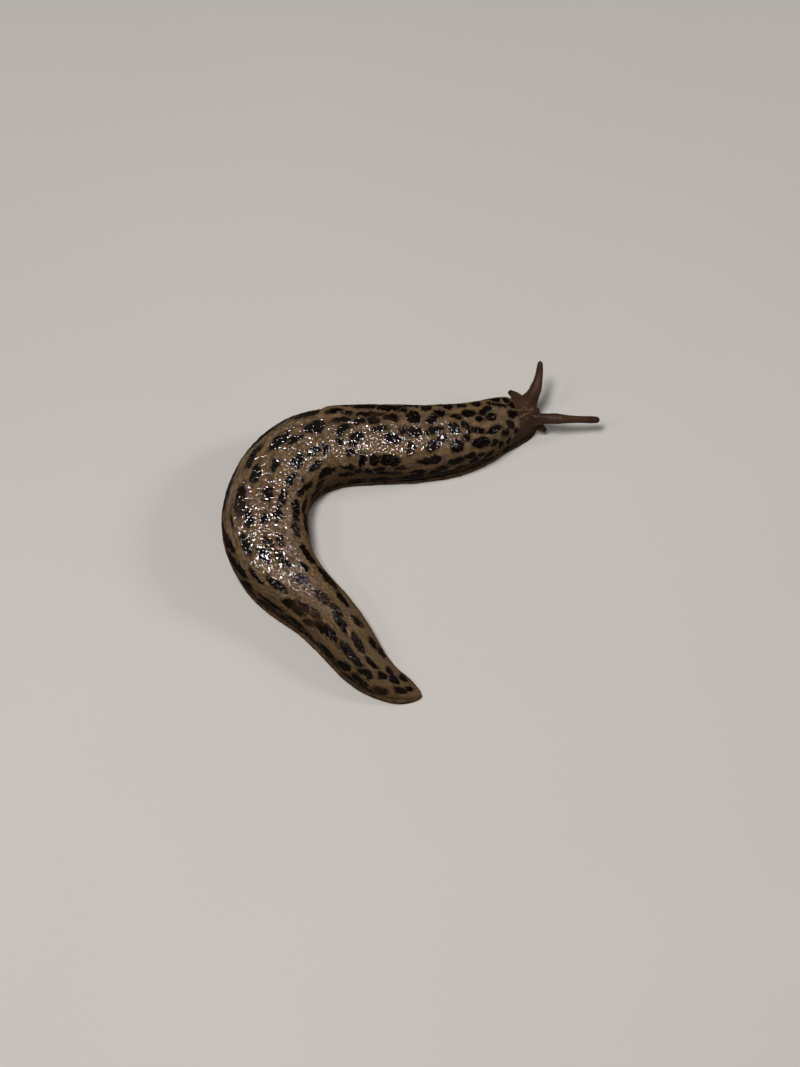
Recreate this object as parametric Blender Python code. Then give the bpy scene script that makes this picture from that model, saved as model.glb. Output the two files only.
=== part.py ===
"""A leopard slug, life size, crawling with its body bent in an open C.

The body is one smooth form worked out from its line on the ground and a table of
widths and heights. Thin cuts part it into head, trunk, tail and foot. The mantle
lies in a shallow pocket over the front third of the back. Four tentacles grow from
the head, and the upper two carry the eyes.

X points the way the head points, Y to the animal's left, Z up. The origin is on the
ground at the middle of the whole outline. Sizes are in millimetres until a mesh is made.
"""
import math

import bmesh
import bpy
import numpy as np
from mathutils import Matrix, Vector

MM = 0.001

# The gap that every two pieces keep where they meet face to face.
GAP = 0.3

# Middle line of the body on the ground, from the snout to the tip of the tail.
ROUTE = [(29.2, 31.2), (25.3, 29.6), (20.7, 27.8), (13.8, 24.3), (6.0, 22.1), (-3.0, 21.4),
         (-12.0, 21.2), (-20.5, 19.9), (-28.0, 15.0), (-31.7, 7.5), (-32.3, 0.4), (-30.4, -6.9),
         (-25.5, -13.3), (-20.1, -18.2), (-15.3, -23.8), (-11.7, -28.8), (-7.9, -32.8),
         (-3.4, -35.5), (1.6, -37.2)]

# Distance from the snout, half width, height, half width of the sole, sharpness of the keel.
STATIONS = [(0, 3.5, 6.0, 2.6, 0), (4, 4.1, 7.4, 3.2, 0), (8, 4.7, 8.4, 3.9, 0),
            (12, 5.3, 9.3, 4.4, 0), (18, 6.3, 10.8, 5.2, 0), (26, 7.2, 11.8, 5.8, 0),
            (36, 7.7, 12.3, 6.2, 0), (46, 7.9, 12.6, 6.4, 0), (56, 8.5, 12.9, 6.8, 0),
            (66, 8.8, 13.0, 7.0, 0), (76, 9.0, 13.0, 7.0, 0), (86, 8.2, 12.0, 6.6, 0.1),
            (96, 6.4, 10.2, 5.6, 0.3), (106, 5.6, 8.6, 5.0, 0.6), (114, 4.8, 6.8, 4.3, 0.9),
            (122, 3.2, 4.2, 3.0, 1.0), (129, 1.7, 2.1, 1.6, 1.0)]
BODY_LENGTH = 129.0

# Where the snout starts on that line, how far it rounds off, and how high its tip is.
SNOUT_START = 0.9
SNOUT_ROUNDING = 5.6
SNOUT_HEIGHT = 3.2
TAIL_ROUNDING = 5.5
SNOUT_POWER = 2.2
TAIL_POWER = 1.9
TAIL_DROP = 0.7

# Where the cuts across the body are, and the height of the cut along the foot.
NECK_CUT = 9.5
FRONT_CUT = 50.0
MIDDLE_CUT = 67.0
BEND_CUT = 84.0
TAIL_CUT = 112.0
FOOT_CUT = 1.6

# The mantle: its middle and half length along the back, and its reach down each flank,
# as a share of the way round the body.
MANTLE_MIDDLE = 29.2
MANTLE_HALF_LENGTH = 21.8
MANTLE_REACH = 0.178
MANTLE_FRONT_POWER = 3.8
MANTLE_REAR_POWER = 2.6
MANTLE_RISE = 0.45
MANTLE_EDGE_RISE = 0.25
MANTLE_EDGE_POWER = 6
MANTLE_DEPTH = 0.9
MANTLE_SIDES = 52
MANTLE_ROWS = 12
MANTLE_ROW_POWER = 0.8
MANTLE_HALF_GIRTH = 36.0
POCKET_HEIGHT = 3.0

# The breathing hole, on the right flank of the mantle.
BREATHING_HOLE = (42.5, 0.625)
BREATHING_HOLE_SIZE = (0.55, 1.0, 0.6)

# Tentacles: points of the middle line, then (share of the length, radius) pairs.
UPPER_LEFT = [(25.6, 30.4, 6.0), (27.0, 33.0, 8.4), (27.9, 35.7, 10.4), (28.2, 38.1, 11.8)]
UPPER_RIGHT = [(27.0, 28.2, 5.6), (31.0, 26.8, 7.2), (36.2, 26.8, 6.8), (40.8, 27.2, 5.9)]
UPPER_LEFT_GIRTH = [(0, 2.5), (0.2, 2.0), (0.4, 1.15), (0.6, 0.78), (0.78, 0.66), (0.88, 0.76), (1, 0.56)]
UPPER_RIGHT_GIRTH = [(0, 2.1), (0.2, 1.55), (0.4, 0.95), (0.6, 0.72), (0.78, 0.7), (0.9, 0.86), (1, 0.6)]
LOWER_LEFT = [(25.8, 31.1, 3.0), (24.1, 33.9, 3.1), (21.9, 36.3, 2.5)]
LOWER_RIGHT = [(26.9, 28.1, 3.0), (28.7, 27.3, 2.6), (30.1, 26.8, 1.9)]
LOWER_GIRTH = [(0, 0.95), (0.4, 0.68), (0.7, 0.6), (0.85, 0.66), (0.95, 0.48), (1, 0.24)]
EYE_RADIUS = 0.52
EYE_PATH_POINTS = 40
EYE_PATH_STEPS = 4
FORK_SLIT_SIZE = (14.0, GAP, 14.0)

# The lips: two lobes and the mouth between them, as how far ahead of the head's middle,
# to the side and up they lie, and their half sizes.
MOUTH_MIDDLE = 2.3
LOBE_PLACE = (0.3, 1.15, 2.3)
LOBE_SIZE = (1.5, 1.15, 1.0)
MOUTH_PLACE = (1.75, 0.0, 2.0)
MOUTH_SIZE = (0.9, 0.42, 0.8)

SKIN_SIDES = 36
WHOLE_SIDES = SKIN_SIDES + 8
SOLE_SIDES = 26
RING_STEP = 1.9
END_RINGS = 8
HEAD_RINGS = 4
TAIL_RINGS = 7
PATH_POINTS = 1200

# Small steps along the line and round the body, over which directions are measured.
PATH_STEP = 0.4
SKIN_STEP = 0.05
SKIN_TURN = 0.002

# The share of the way round where the flank rises from the sole, and how finely it is searched.
FLANK_START = 0.14
FLANK_END = 0.4
FLANK_POINTS = 260


def clear_scene():
    """Start from an empty scene."""
    for thing in list(bpy.data.objects):
        bpy.data.objects.remove(thing, do_unlink=True)


def new_collection(name):
    """A collection linked to the scene."""
    collection = bpy.data.collections.new(name)
    bpy.context.scene.collection.children.link(collection)
    return collection


def linear(channel):
    """Turn one 0 to 255 screen value into the linear value a shader takes."""
    value = channel / 255
    if value <= 0.04045:
        return value / 12.92
    return ((value + 0.055) / 1.055) ** 2.4


def paint(thing, colour, roughness, metallic=0.0):
    """Give an object its own plain material."""
    material = bpy.data.materials.new(thing.name + "_finish")
    material.use_nodes = True
    shader = material.node_tree.nodes["Principled BSDF"]
    shader.inputs["Base Color"].default_value = [linear(c) for c in colour] + [1.0]
    shader.inputs["Roughness"].default_value = roughness
    shader.inputs["Metallic"].default_value = metallic
    thing.data.materials.clear()
    thing.data.materials.append(material)


def spline(knots, values, where):
    """Natural cubic spline through values at the knots, read at the given places."""
    knots = np.asarray(knots, float)
    values = np.asarray(values, float)
    step = np.diff(knots)
    slope = np.diff(values, axis=0) / step[:, None]
    count = len(knots)
    matrix = np.eye(count)
    right = np.zeros_like(values)
    for i in range(1, count - 1):
        matrix[i, i - 1:i + 2] = step[i - 1], 2 * (step[i - 1] + step[i]), step[i]
        right[i] = 6 * (slope[i] - slope[i - 1])
    bend = np.linalg.solve(matrix, right)
    span = np.clip(np.searchsorted(knots, where) - 1, 0, count - 2)
    along = (where - knots[span])[:, None]
    width = step[span][:, None]
    linear_part = slope[span] - width * (2 * bend[span] + bend[span + 1]) / 6
    cubic_part = (bend[span + 1] - bend[span]) / (6 * width)
    return values[span] + along * linear_part + along ** 2 * bend[span] / 2 + along ** 3 * cubic_part


def running_length(points):
    """Distance along a chain of points, starting at 0."""
    legs = np.linalg.norm(np.diff(points, axis=0), axis=1)
    return np.concatenate([[0], np.cumsum(legs)])


def smooth_path(points, count):
    """Evenly spaced points of a smooth curve through the given ones."""
    points = np.asarray(points, float)
    chord = running_length(points)
    fine = spline(chord, points, np.linspace(0, chord[-1], PATH_POINTS))
    run = running_length(fine)
    even = np.linspace(0, run[-1], count)
    return np.stack([np.interp(even, run, fine[:, axis]) for axis in range(points.shape[1])], axis=1)


PATH = smooth_path(ROUTE, PATH_POINTS)
PATH_RUN = np.linspace(0, BODY_LENGTH, len(PATH))


def on_path(s):
    """Points of the middle line, and the direction to the animal's left there."""
    def read(at):
        return np.stack([np.interp(at, PATH_RUN, PATH[:, 0]), np.interp(at, PATH_RUN, PATH[:, 1])], axis=1)
    tailward = read(s + PATH_STEP) - read(s - PATH_STEP)
    tailward /= np.linalg.norm(tailward, axis=1, keepdims=True)
    left = np.stack([tailward[:, 1], -tailward[:, 0]], axis=1)
    return read(s), left


def rounding(distance, radius, power):
    """1 in the body, falling to 0 at an end along a superellipse."""
    share = np.clip(distance / radius, 0, 1)
    return (1 - (1 - share) ** power) ** (1 / power)


def cage(width, height, sole, keel):
    """Control points of the cross-section, from under the middle, up the left, down the right."""
    nil = np.zeros_like(width)
    half = [(nil, nil), (0.6 * sole, nil), (sole, nil), (1.1 * sole + 0.5, nil),
            (1.12 * sole + 0.7, nil + 0.9), (0.5 * (width + sole) + 0.1, nil + 1.7),
            (1.03 * width, 0.28 * height), (1.04 * width, 0.5 * height),
            ((0.99 - 0.1 * keel) * width, 0.72 * height), ((0.8 - 0.26 * keel) * width, 0.93 * height),
            ((0.45 - 0.24 * keel) * width, 1.02 * height), (nil, (1.03 + 0.06 * keel) * height)]
    mirrored = [(-x, z) for x, z in reversed(half[1:-1])]
    return np.stack([np.stack(pair, axis=-1) for pair in half + mirrored], axis=1)


def spline_weights(u, count):
    """Weights of a closed uniform cubic B-spline with so many control points, at u from 0 to 1."""
    place = (u % 1.0) * count
    first = np.floor(place).astype(int)
    t = place - first
    weights = [(1 - t) ** 3, 3 * t ** 3 - 6 * t ** 2 + 4, 1 + 3 * t + 3 * t ** 2 - 3 * t ** 3, t ** 3]
    table = np.zeros((len(u), count))
    for shift, weight in enumerate(weights):
        table[np.arange(len(u)), (first + shift - 1) % count] += weight / 6
    return table


def body_point(s, u):
    """Point of the skin at s mm from the snout and u of the way round, 0.5 being the back."""
    s = np.atleast_1d(np.asarray(s, float))
    u = np.atleast_1d(np.asarray(u, float))
    knots = np.array(STATIONS, float)
    sizes = spline(knots[:, 0], knots[:, 1:], np.clip(s, 0, BODY_LENGTH))
    width, height, sole, keel = sizes.T
    control = cage(width, height, sole, np.clip(keel, 0, 1))
    section = np.einsum("ik,ikc->ic", spline_weights(u, control.shape[1]), control)
    snout = rounding(s - SNOUT_START, SNOUT_ROUNDING, SNOUT_POWER)
    tail = rounding(BODY_LENGTH - s, TAIL_ROUNDING, TAIL_POWER)
    side = section[:, 0] * snout * tail
    up = (SNOUT_HEIGHT + (section[:, 1] - SNOUT_HEIGHT) * snout) * tail ** TAIL_DROP
    middle, left = on_path(s)
    return np.column_stack([middle + side[:, None] * left, up])


def skin_normal(s, u):
    """Direction straight out of the skin."""
    along = body_point(s + SKIN_STEP, u) - body_point(s - SKIN_STEP, u)
    around = body_point(s, u + SKIN_TURN) - body_point(s, u - SKIN_TURN)
    normal = np.cross(along, around)
    return normal / np.linalg.norm(normal, axis=1, keepdims=True)


def ring(s, u):
    """One ring of skin points at a single distance from the snout."""
    return body_point(np.full(len(u), float(s)), u)


def u_at_height(s, level):
    """How far round the left side the skin reaches a height above the ground."""
    u = np.linspace(FLANK_START, FLANK_END, FLANK_POINTS)
    return float(np.interp(level, ring(s, u)[:, 2], u))


def whole_ring(s):
    """The full cross-section."""
    return ring(s, np.arange(WHOLE_SIDES) / WHOLE_SIDES)


def upper_ring(s):
    """The cross-section above the foot, closed by a level cut."""
    start = u_at_height(s, FOOT_CUT + GAP / 2)
    points = ring(s, np.linspace(start, 1 - start, SKIN_SIDES))
    points[[0, -1], 2] = FOOT_CUT + GAP / 2
    return points


def foot_ring(s):
    """The foot with its fringe, closed by a level cut."""
    end = u_at_height(s, FOOT_CUT - GAP / 2)
    points = ring(s, np.linspace(-end, end, SOLE_SIDES))
    points[[0, -1], 2] = FOOT_CUT - GAP / 2
    return points


def ring_places(start, end):
    """Even distances from one cut to the next, half a gap inside each."""
    count = max(3, round((end - start) / RING_STEP) + 1)
    return np.linspace(start + GAP / 2, end - GAP / 2, count)


def loft(name, rings, collection):
    """A closed mesh through rings of points. A ring that shrinks to a point closes an end."""
    mesh = bmesh.new()
    rows = [[mesh.verts.new(Vector(point) * MM) for point in points] for points in rings]
    sides = len(rows[0])
    for row, following in zip(rows, rows[1:]):
        for i in range(sides):
            j = (i + 1) % sides
            mesh.faces.new((row[i], row[j], following[j], following[i]))
    mesh.faces.new(rows[0])
    mesh.faces.new(list(reversed(rows[-1])))
    bmesh.ops.remove_doubles(mesh, verts=mesh.verts, dist=1e-6)
    bmesh.ops.recalc_face_normals(mesh, faces=mesh.faces)
    return finish_mesh(name, mesh, collection)


def finish_mesh(name, mesh, collection):
    """Turn a bmesh into an object of a collection."""
    data = bpy.data.meshes.new(name)
    mesh.to_mesh(data)
    mesh.free()
    thing = bpy.data.objects.new(name, data)
    collection.objects.link(thing)
    data.shade_smooth()
    return thing


def boolean(thing, tool, operation):
    """Apply one Boolean to an object, with another object as its tool."""
    modifier = thing.modifiers.new(operation.lower(), "BOOLEAN")
    modifier.operation = operation
    modifier.solver = "EXACT"
    modifier.object = tool
    graph = bpy.context.evaluated_depsgraph_get()
    result = bpy.data.meshes.new_from_object(thing.evaluated_get(graph))
    thing.modifiers.clear()
    thing.data = result
    keep_largest(thing)


def keep_largest(thing):
    """Keep only the largest closed surface of a mesh."""
    mesh = bmesh.new()
    mesh.from_mesh(thing.data)
    unseen = set(mesh.verts)
    islands = []
    while unseen:
        island = {unseen.pop()}
        edge = set(island)
        while edge:
            edge = {e.other_vert(v) for v in edge for e in v.link_edges} & unseen
            unseen -= edge
            island |= edge
        islands.append(island)
    largest = max(islands, key=len)
    scraps = [v for v in mesh.verts if v not in largest]
    bmesh.ops.delete(mesh, geom=scraps, context="VERTS")
    mesh.to_mesh(thing.data)
    mesh.free()


def as_cutter(thing):
    """Mark an object as a cutter."""
    thing.hide_render = True
    thing.display_type = "WIRE"
    return thing


def snout_places(end):
    """Distances from the snout, closer together where it rounds off."""
    rounded = SNOUT_START + SNOUT_ROUNDING * (1 - np.cos(np.linspace(0, math.pi / 2, END_RINGS)))
    behind = np.linspace(rounded[-1], end - GAP / 2, HEAD_RINGS)
    return np.concatenate([rounded, behind[1:]])


def tail_places(start):
    """Distances from the snout, closer together where the tail rounds off."""
    rounded = BODY_LENGTH - TAIL_ROUNDING * (1 - np.cos(np.linspace(math.pi / 2, 0, END_RINGS)))
    before = np.linspace(start + GAP / 2, rounded[0], TAIL_RINGS)
    return np.concatenate([before[:-1], rounded])


def mantle_places(margin):
    """Distances and shares round the body over the mantle's outline, in rows from its middle."""
    angle = np.arange(MANTLE_SIDES) * math.tau / MANTLE_SIDES
    share = np.linspace(0, 1, MANTLE_ROWS + 1)[1:] ** MANTLE_ROW_POWER
    c = np.cos(angle)
    power = np.where(c > 0, MANTLE_REAR_POWER, MANTLE_FRONT_POWER)
    forth = np.sign(c) * np.abs(c) ** (2 / power)
    across = np.sign(np.sin(angle)) * np.abs(np.sin(angle)) ** (2 / power)
    length = MANTLE_HALF_LENGTH + margin
    reach = MANTLE_REACH + margin / MANTLE_HALF_GIRTH
    s = MANTLE_MIDDLE + share[:, None] * length * forth[None, :]
    u = 0.5 + share[:, None] * reach * across[None, :]
    return s, u, share


def mantle_shell(name, margin, rise, edge_rise, depth, collection):
    """A curved shield that follows the back, from so deep in the skin to so far above it."""
    s, u, share = mantle_places(margin)
    flat_s = s.ravel()
    flat_u = u.ravel()
    skin = body_point(flat_s, flat_u).reshape(*s.shape, 3)
    out = skin_normal(flat_s, flat_u).reshape(*s.shape, 3)
    height = edge_rise + (rise - edge_rise) * (1 - share ** MANTLE_EDGE_POWER)
    top = skin + out * height[:, None, None]
    under = skin - out * depth
    middle = body_point(MANTLE_MIDDLE, 0.5)[0]
    pole_out = skin_normal(np.array([MANTLE_MIDDLE]), np.array([0.5]))[0]
    mesh = bmesh.new()
    add_cap(mesh, top, middle + pole_out * rise)
    add_cap(mesh, under, middle - pole_out * depth)
    bmesh.ops.remove_doubles(mesh, verts=mesh.verts, dist=1e-7)
    rims = [e for e in mesh.edges if e.is_boundary]
    bmesh.ops.bridge_loops(mesh, edges=rims)
    bmesh.ops.recalc_face_normals(mesh, faces=mesh.faces)
    return finish_mesh(name, mesh, collection)


def add_cap(mesh, rows, pole):
    """Faces from a middle point out through closed rows of points."""
    verts = [[mesh.verts.new(Vector(point) * MM) for point in row] for row in rows]
    centre = mesh.verts.new(Vector(pole) * MM)
    sides = len(verts[0])
    for i in range(sides):
        mesh.faces.new((centre, verts[0][i], verts[0][(i + 1) % sides]))
    for row, following in zip(verts, verts[1:]):
        for i in range(sides):
            j = (i + 1) % sides
            mesh.faces.new((row[i], following[i], following[j], row[j]))


def ellipsoid(name, centre, directions, radii, collection):
    """A rounded lump with its three half sizes along three directions."""
    mesh = bmesh.new()
    bmesh.ops.create_uvsphere(mesh, u_segments=20, v_segments=12, radius=1.0)
    turn = Matrix([Vector(d) * (r * MM) for d, r in zip(directions, radii)]).transposed().to_4x4()
    turn.translation = Vector(centre) * MM
    bmesh.ops.transform(mesh, matrix=turn, verts=mesh.verts)
    bmesh.ops.recalc_face_normals(mesh, faces=mesh.faces)
    return finish_mesh(name, mesh, collection)


def tube(name, route, girth, count, collection):
    """A tapering tube: a curve through the route with a radius at each point, made a mesh."""
    path = smooth_path(route, count)
    shares = np.linspace(0, 1, count)
    radii = np.interp(shares, *np.array(girth, float).T)
    curve = bpy.data.curves.new(name, "CURVE")
    curve.dimensions = "3D"
    curve.bevel_depth = MM
    curve.bevel_resolution = 3
    curve.use_fill_caps = True
    line = curve.splines.new("POLY")
    line.points.add(count - 1)
    for point, place, radius in zip(line.points, path, radii):
        point.co = (*(place * MM), 1.0)
        point.radius = radius
    guide = bpy.data.objects.new(name + "_line", curve)
    collection.objects.link(guide)
    graph = bpy.context.evaluated_depsgraph_get()
    mesh = bmesh.new()
    mesh.from_mesh(guide.evaluated_get(graph).to_mesh())
    bmesh.ops.remove_doubles(mesh, verts=mesh.verts, dist=1e-6)
    bmesh.ops.recalc_face_normals(mesh, faces=mesh.faces)
    bpy.data.objects.remove(guide, do_unlink=True)
    return finish_mesh(name, mesh, collection)


def make_eye(name, route, collection):
    """The dark dome of an eye, just beyond the blunt end of its tentacle."""
    path = smooth_path(route, EYE_PATH_POINTS)
    ahead = Vector(path[-1] - path[-EYE_PATH_STEPS]).normalized()
    centre = (Vector(path[-1]) + ahead * GAP) * MM
    mesh = bmesh.new()
    bmesh.ops.create_uvsphere(mesh, u_segments=20, v_segments=10, radius=EYE_RADIUS * MM)
    behind = [v for v in mesh.verts if v.co.z < -0.01 * EYE_RADIUS * MM]
    bmesh.ops.delete(mesh, geom=behind, context="VERTS")
    rim = [e for e in mesh.edges if e.is_boundary]
    bmesh.ops.holes_fill(mesh, edges=rim, sides=0)
    turn = Vector((0, 0, 1)).rotation_difference(ahead).to_matrix().to_4x4()
    turn.translation = centre
    bmesh.ops.transform(mesh, matrix=turn, verts=mesh.verts)
    bmesh.ops.recalc_face_normals(mesh, faces=mesh.faces)
    return finish_mesh(name, mesh, collection)


def make_head(parts, cutters, pocket):
    """The head: rounded snout, two lip lobes, and the mouth between them."""
    head = loft("head", [whole_ring(s) for s in snout_places(NECK_CUT)], parts)
    middle, left = on_path(np.array([MOUTH_MIDDLE]))
    axes = (Vector((left[0][1], -left[0][0], 0)), Vector((left[0][0], left[0][1], 0)), Vector((0, 0, 1)))

    def place_at(offsets, side):
        ahead, sideways, up = offsets
        base = Vector((middle[0][0], middle[0][1], 0))
        return base + axes[0] * ahead + axes[1] * (side * sideways) + axes[2] * up

    for side in (1, -1):
        lobe = ellipsoid("lobe", place_at(LOBE_PLACE, side), axes, LOBE_SIZE, cutters)
        boolean(head, lobe, "UNION")
        bpy.data.objects.remove(lobe, do_unlink=True)
    mouth = as_cutter(ellipsoid("mouth_cutter", place_at(MOUTH_PLACE, 1), axes, MOUTH_SIZE, cutters))
    boolean(head, mouth, "DIFFERENCE")
    boolean(head, pocket, "DIFFERENCE")
    paint(head, (61, 42, 32), 0.35)
    return head


def make_trunk(parts, pocket):
    """The body above the foot, in lengths. The mantle's pocket is cut in the front ones."""
    lengths = (("trunk_front", NECK_CUT, FRONT_CUT, (88, 68, 51)),
               ("trunk_bend_front", FRONT_CUT, MIDDLE_CUT, (94, 75, 55)),
               ("trunk_bend_rear", MIDDLE_CUT, BEND_CUT, (91, 73, 53)),
               ("trunk_rear", BEND_CUT, TAIL_CUT, (82, 65, 46)))
    for name, start, end, colour in lengths:
        piece = loft(name, [upper_ring(s) for s in ring_places(start, end)], parts)
        if start < MANTLE_MIDDLE + MANTLE_HALF_LENGTH:
            boolean(piece, pocket, "DIFFERENCE")
        paint(piece, colour, 0.32)


def make_foot(parts):
    """The flat sole with its fringe, in lengths that match the trunk's."""
    lengths = (("foot_front", NECK_CUT, FRONT_CUT), ("foot_bend_front", FRONT_CUT, MIDDLE_CUT),
               ("foot_bend_rear", MIDDLE_CUT, BEND_CUT), ("foot_rear", BEND_CUT, TAIL_CUT))
    for name, start, end in lengths:
        piece = loft(name, [foot_ring(s) for s in ring_places(start, end)], parts)
        paint(piece, (86, 62, 40), 0.38)


def make_tail(parts):
    """The keeled tail, down to its tip."""
    tail = loft("tail", [whole_ring(s) for s in tail_places(TAIL_CUT)], parts)
    paint(tail, (72, 57, 38), 0.34)


def make_mantle(parts, cutters):
    """The shield over the front of the back, with the breathing hole on its right."""
    mantle = mantle_shell("mantle", 0, MANTLE_RISE, MANTLE_EDGE_RISE, MANTLE_DEPTH, parts)
    s = np.array([BREATHING_HOLE[0]])
    u = np.array([BREATHING_HOLE[1]])
    out = skin_normal(s, u)[0]
    along = body_point(s + SKIN_STEP, u)[0] - body_point(s - SKIN_STEP, u)[0]
    along /= np.linalg.norm(along)
    down = np.cross(out, along)
    place = body_point(s, u)[0] + out * MANTLE_RISE
    hole = ellipsoid("breathing_hole_cutter", place, (along, down, out), BREATHING_HOLE_SIZE, cutters)
    boolean(mantle, as_cutter(hole), "DIFFERENCE")
    paint(mantle, (96, 77, 54), 0.28)


def make_tentacle(name, route, girth, count, trims, parts):
    """One tentacle, its root cut back to clear the head and its neighbour."""
    piece = tube(name, route, girth, count, parts)
    for trim in trims:
        boolean(piece, trim, "DIFFERENCE")
    paint(piece, (64, 46, 33), 0.4)


def grown_head(cutters):
    """The head's own form grown by one gap all round, which trims the tentacles' roots."""
    rings = []
    for s in snout_places(NECK_CUT)[1:]:
        u = np.arange(WHOLE_SIDES) / WHOLE_SIDES
        at = np.full(len(u), float(s))
        rings.append(body_point(at, u) + skin_normal(at, u) * GAP)
    centre = ring(SNOUT_START, np.array([0.5]))[0]
    middle, left = on_path(np.array([SNOUT_START]))
    nose = centre + np.array([left[0][1], -left[0][0], 0]) * GAP
    rings.insert(0, np.repeat(nose[None, :], len(rings[0]), axis=0))
    return as_cutter(loft("head_clearance", rings, cutters))


def fork_slit(cutters):
    """A thin upright slab between the roots of the two upper tentacles."""
    left = np.array(UPPER_LEFT[0])
    right = np.array(UPPER_RIGHT[0])
    across = Vector((left - right) * (1, 1, 0)).normalized()
    along = Vector((across.y, -across.x, 0))
    place = Vector((left + right) / 2)
    mesh = bmesh.new()
    bmesh.ops.create_cube(mesh, size=1.0)
    sizes = zip((along, across, Vector((0, 0, 1))), FORK_SLIT_SIZE)
    turn = Matrix([direction * (size * MM) for direction, size in sizes]).transposed().to_4x4()
    turn.translation = place * MM
    bmesh.ops.transform(mesh, matrix=turn, verts=mesh.verts)
    bmesh.ops.recalc_face_normals(mesh, faces=mesh.faces)
    return as_cutter(finish_mesh("fork_slit", mesh, cutters))


def build():
    """Make every piece of the slug."""
    clear_scene()
    parts = new_collection("leopard_slug")
    cutters = new_collection("cutters")
    pocket = mantle_shell("mantle_pocket", GAP, POCKET_HEIGHT, POCKET_HEIGHT, MANTLE_DEPTH + GAP, cutters)
    as_cutter(pocket)
    clearance = grown_head(cutters)
    upper_trims = (clearance, fork_slit(cutters))
    make_head(parts, cutters, pocket)
    make_trunk(parts, pocket)
    make_foot(parts)
    make_tail(parts)
    make_mantle(parts, cutters)
    make_tentacle("upper_tentacle_left", UPPER_LEFT, UPPER_LEFT_GIRTH, 22, upper_trims, parts)
    make_tentacle("upper_tentacle_right", UPPER_RIGHT, UPPER_RIGHT_GIRTH, 24, upper_trims, parts)
    make_tentacle("lower_tentacle_left", LOWER_LEFT, LOWER_GIRTH, 12, (clearance,), parts)
    make_tentacle("lower_tentacle_right", LOWER_RIGHT, LOWER_GIRTH, 12, (clearance,), parts)
    for name, route in (("eye_left", UPPER_LEFT), ("eye_right", UPPER_RIGHT)):
        paint(make_eye(name, route, parts), (16, 12, 10), 0.15)


build()
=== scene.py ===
# %% [markdown]
# # A leopard slug, life size
# The animal is one long muscle in a wet, wrinkled skin. A model maker would press it in
# clay, cast it in soft resin and tint it by hand. It could be sculpted here as well, but
# then no two lengths of it would agree. So the body is worked out from a handful of
# measured sections, and every wrinkle, spot and tentacle is laid on by a formula.
# Sizes below are in millimetres, and they become metres when a mesh is made.

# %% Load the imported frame
import math

import bpy
import numpy as np
from mathutils import Matrix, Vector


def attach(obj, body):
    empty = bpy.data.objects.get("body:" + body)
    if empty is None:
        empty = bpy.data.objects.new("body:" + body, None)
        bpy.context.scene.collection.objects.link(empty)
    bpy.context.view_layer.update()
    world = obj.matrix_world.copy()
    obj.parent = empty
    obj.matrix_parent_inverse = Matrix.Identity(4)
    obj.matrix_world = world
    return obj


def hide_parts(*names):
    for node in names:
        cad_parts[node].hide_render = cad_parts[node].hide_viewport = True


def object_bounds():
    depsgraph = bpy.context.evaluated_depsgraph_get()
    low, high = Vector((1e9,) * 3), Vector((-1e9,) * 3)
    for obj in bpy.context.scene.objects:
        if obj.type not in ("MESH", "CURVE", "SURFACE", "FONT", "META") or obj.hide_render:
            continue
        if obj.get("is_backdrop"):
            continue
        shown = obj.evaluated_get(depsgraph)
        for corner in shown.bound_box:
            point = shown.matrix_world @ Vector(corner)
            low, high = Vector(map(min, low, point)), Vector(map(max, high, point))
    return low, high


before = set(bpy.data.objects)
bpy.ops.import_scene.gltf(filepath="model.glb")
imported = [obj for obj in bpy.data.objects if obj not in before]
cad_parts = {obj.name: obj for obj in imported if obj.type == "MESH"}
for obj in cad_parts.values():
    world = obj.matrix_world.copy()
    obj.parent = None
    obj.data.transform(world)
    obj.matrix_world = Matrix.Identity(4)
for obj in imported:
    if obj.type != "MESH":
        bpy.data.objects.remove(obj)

cad_box = [list(corner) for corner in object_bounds()]
MM = 0.001
print("solids in the frame:", len(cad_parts))
print("size of the frame in mm:", [round((b - a) / MM, 1) for a, b in zip(*cad_box)])

# %% [markdown]
# ## The line and the sections of the body
# A crawling slug draws one smooth line on the ground. Sections across that line say how
# wide and how high it is, how wide its sole is, and how sharp the keel on its back is.
# Curves with a bevel could follow the line, but they have one section for the whole
# length. A table of sections, joined by smooth curves, lets the neck, the thick middle
# and the keeled tail each have their own.

# %% The driving sizes of the body
ROUTE = [(29.2, 31.2), (25.3, 29.6), (20.7, 27.8), (13.8, 24.3), (6.0, 22.1), (-3.0, 21.4),
         (-12.0, 21.2), (-20.5, 19.9), (-28.0, 15.0), (-31.7, 7.5), (-32.3, 0.4), (-30.4, -6.9),
         (-25.5, -13.3), (-20.1, -18.2), (-15.3, -23.8), (-11.7, -28.8), (-7.9, -32.8),
         (-3.4, -35.5), (1.6, -37.2)]
# Distance from the snout, half width, height, half width of the sole, sharpness of the keel.
STATIONS = [(0, 3.5, 6.0, 2.6, 0), (4, 4.1, 7.4, 3.2, 0), (8, 4.7, 8.4, 3.9, 0),
            (12, 5.3, 9.3, 4.4, 0), (18, 6.3, 10.8, 5.2, 0), (26, 7.2, 11.8, 5.8, 0),
            (36, 7.7, 12.3, 6.2, 0), (46, 7.9, 12.6, 6.4, 0), (56, 8.5, 12.9, 6.8, 0),
            (66, 8.8, 13.0, 7.0, 0), (76, 9.0, 13.0, 7.0, 0), (86, 8.2, 12.0, 6.6, 0.1),
            (96, 6.4, 10.2, 5.6, 0.3), (106, 5.6, 8.6, 5.0, 0.6), (114, 4.8, 6.8, 4.3, 0.9),
            (122, 3.2, 4.2, 3.0, 1.0), (129, 1.7, 2.1, 1.6, 1.0)]
BODY_LENGTH = 129.0
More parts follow.
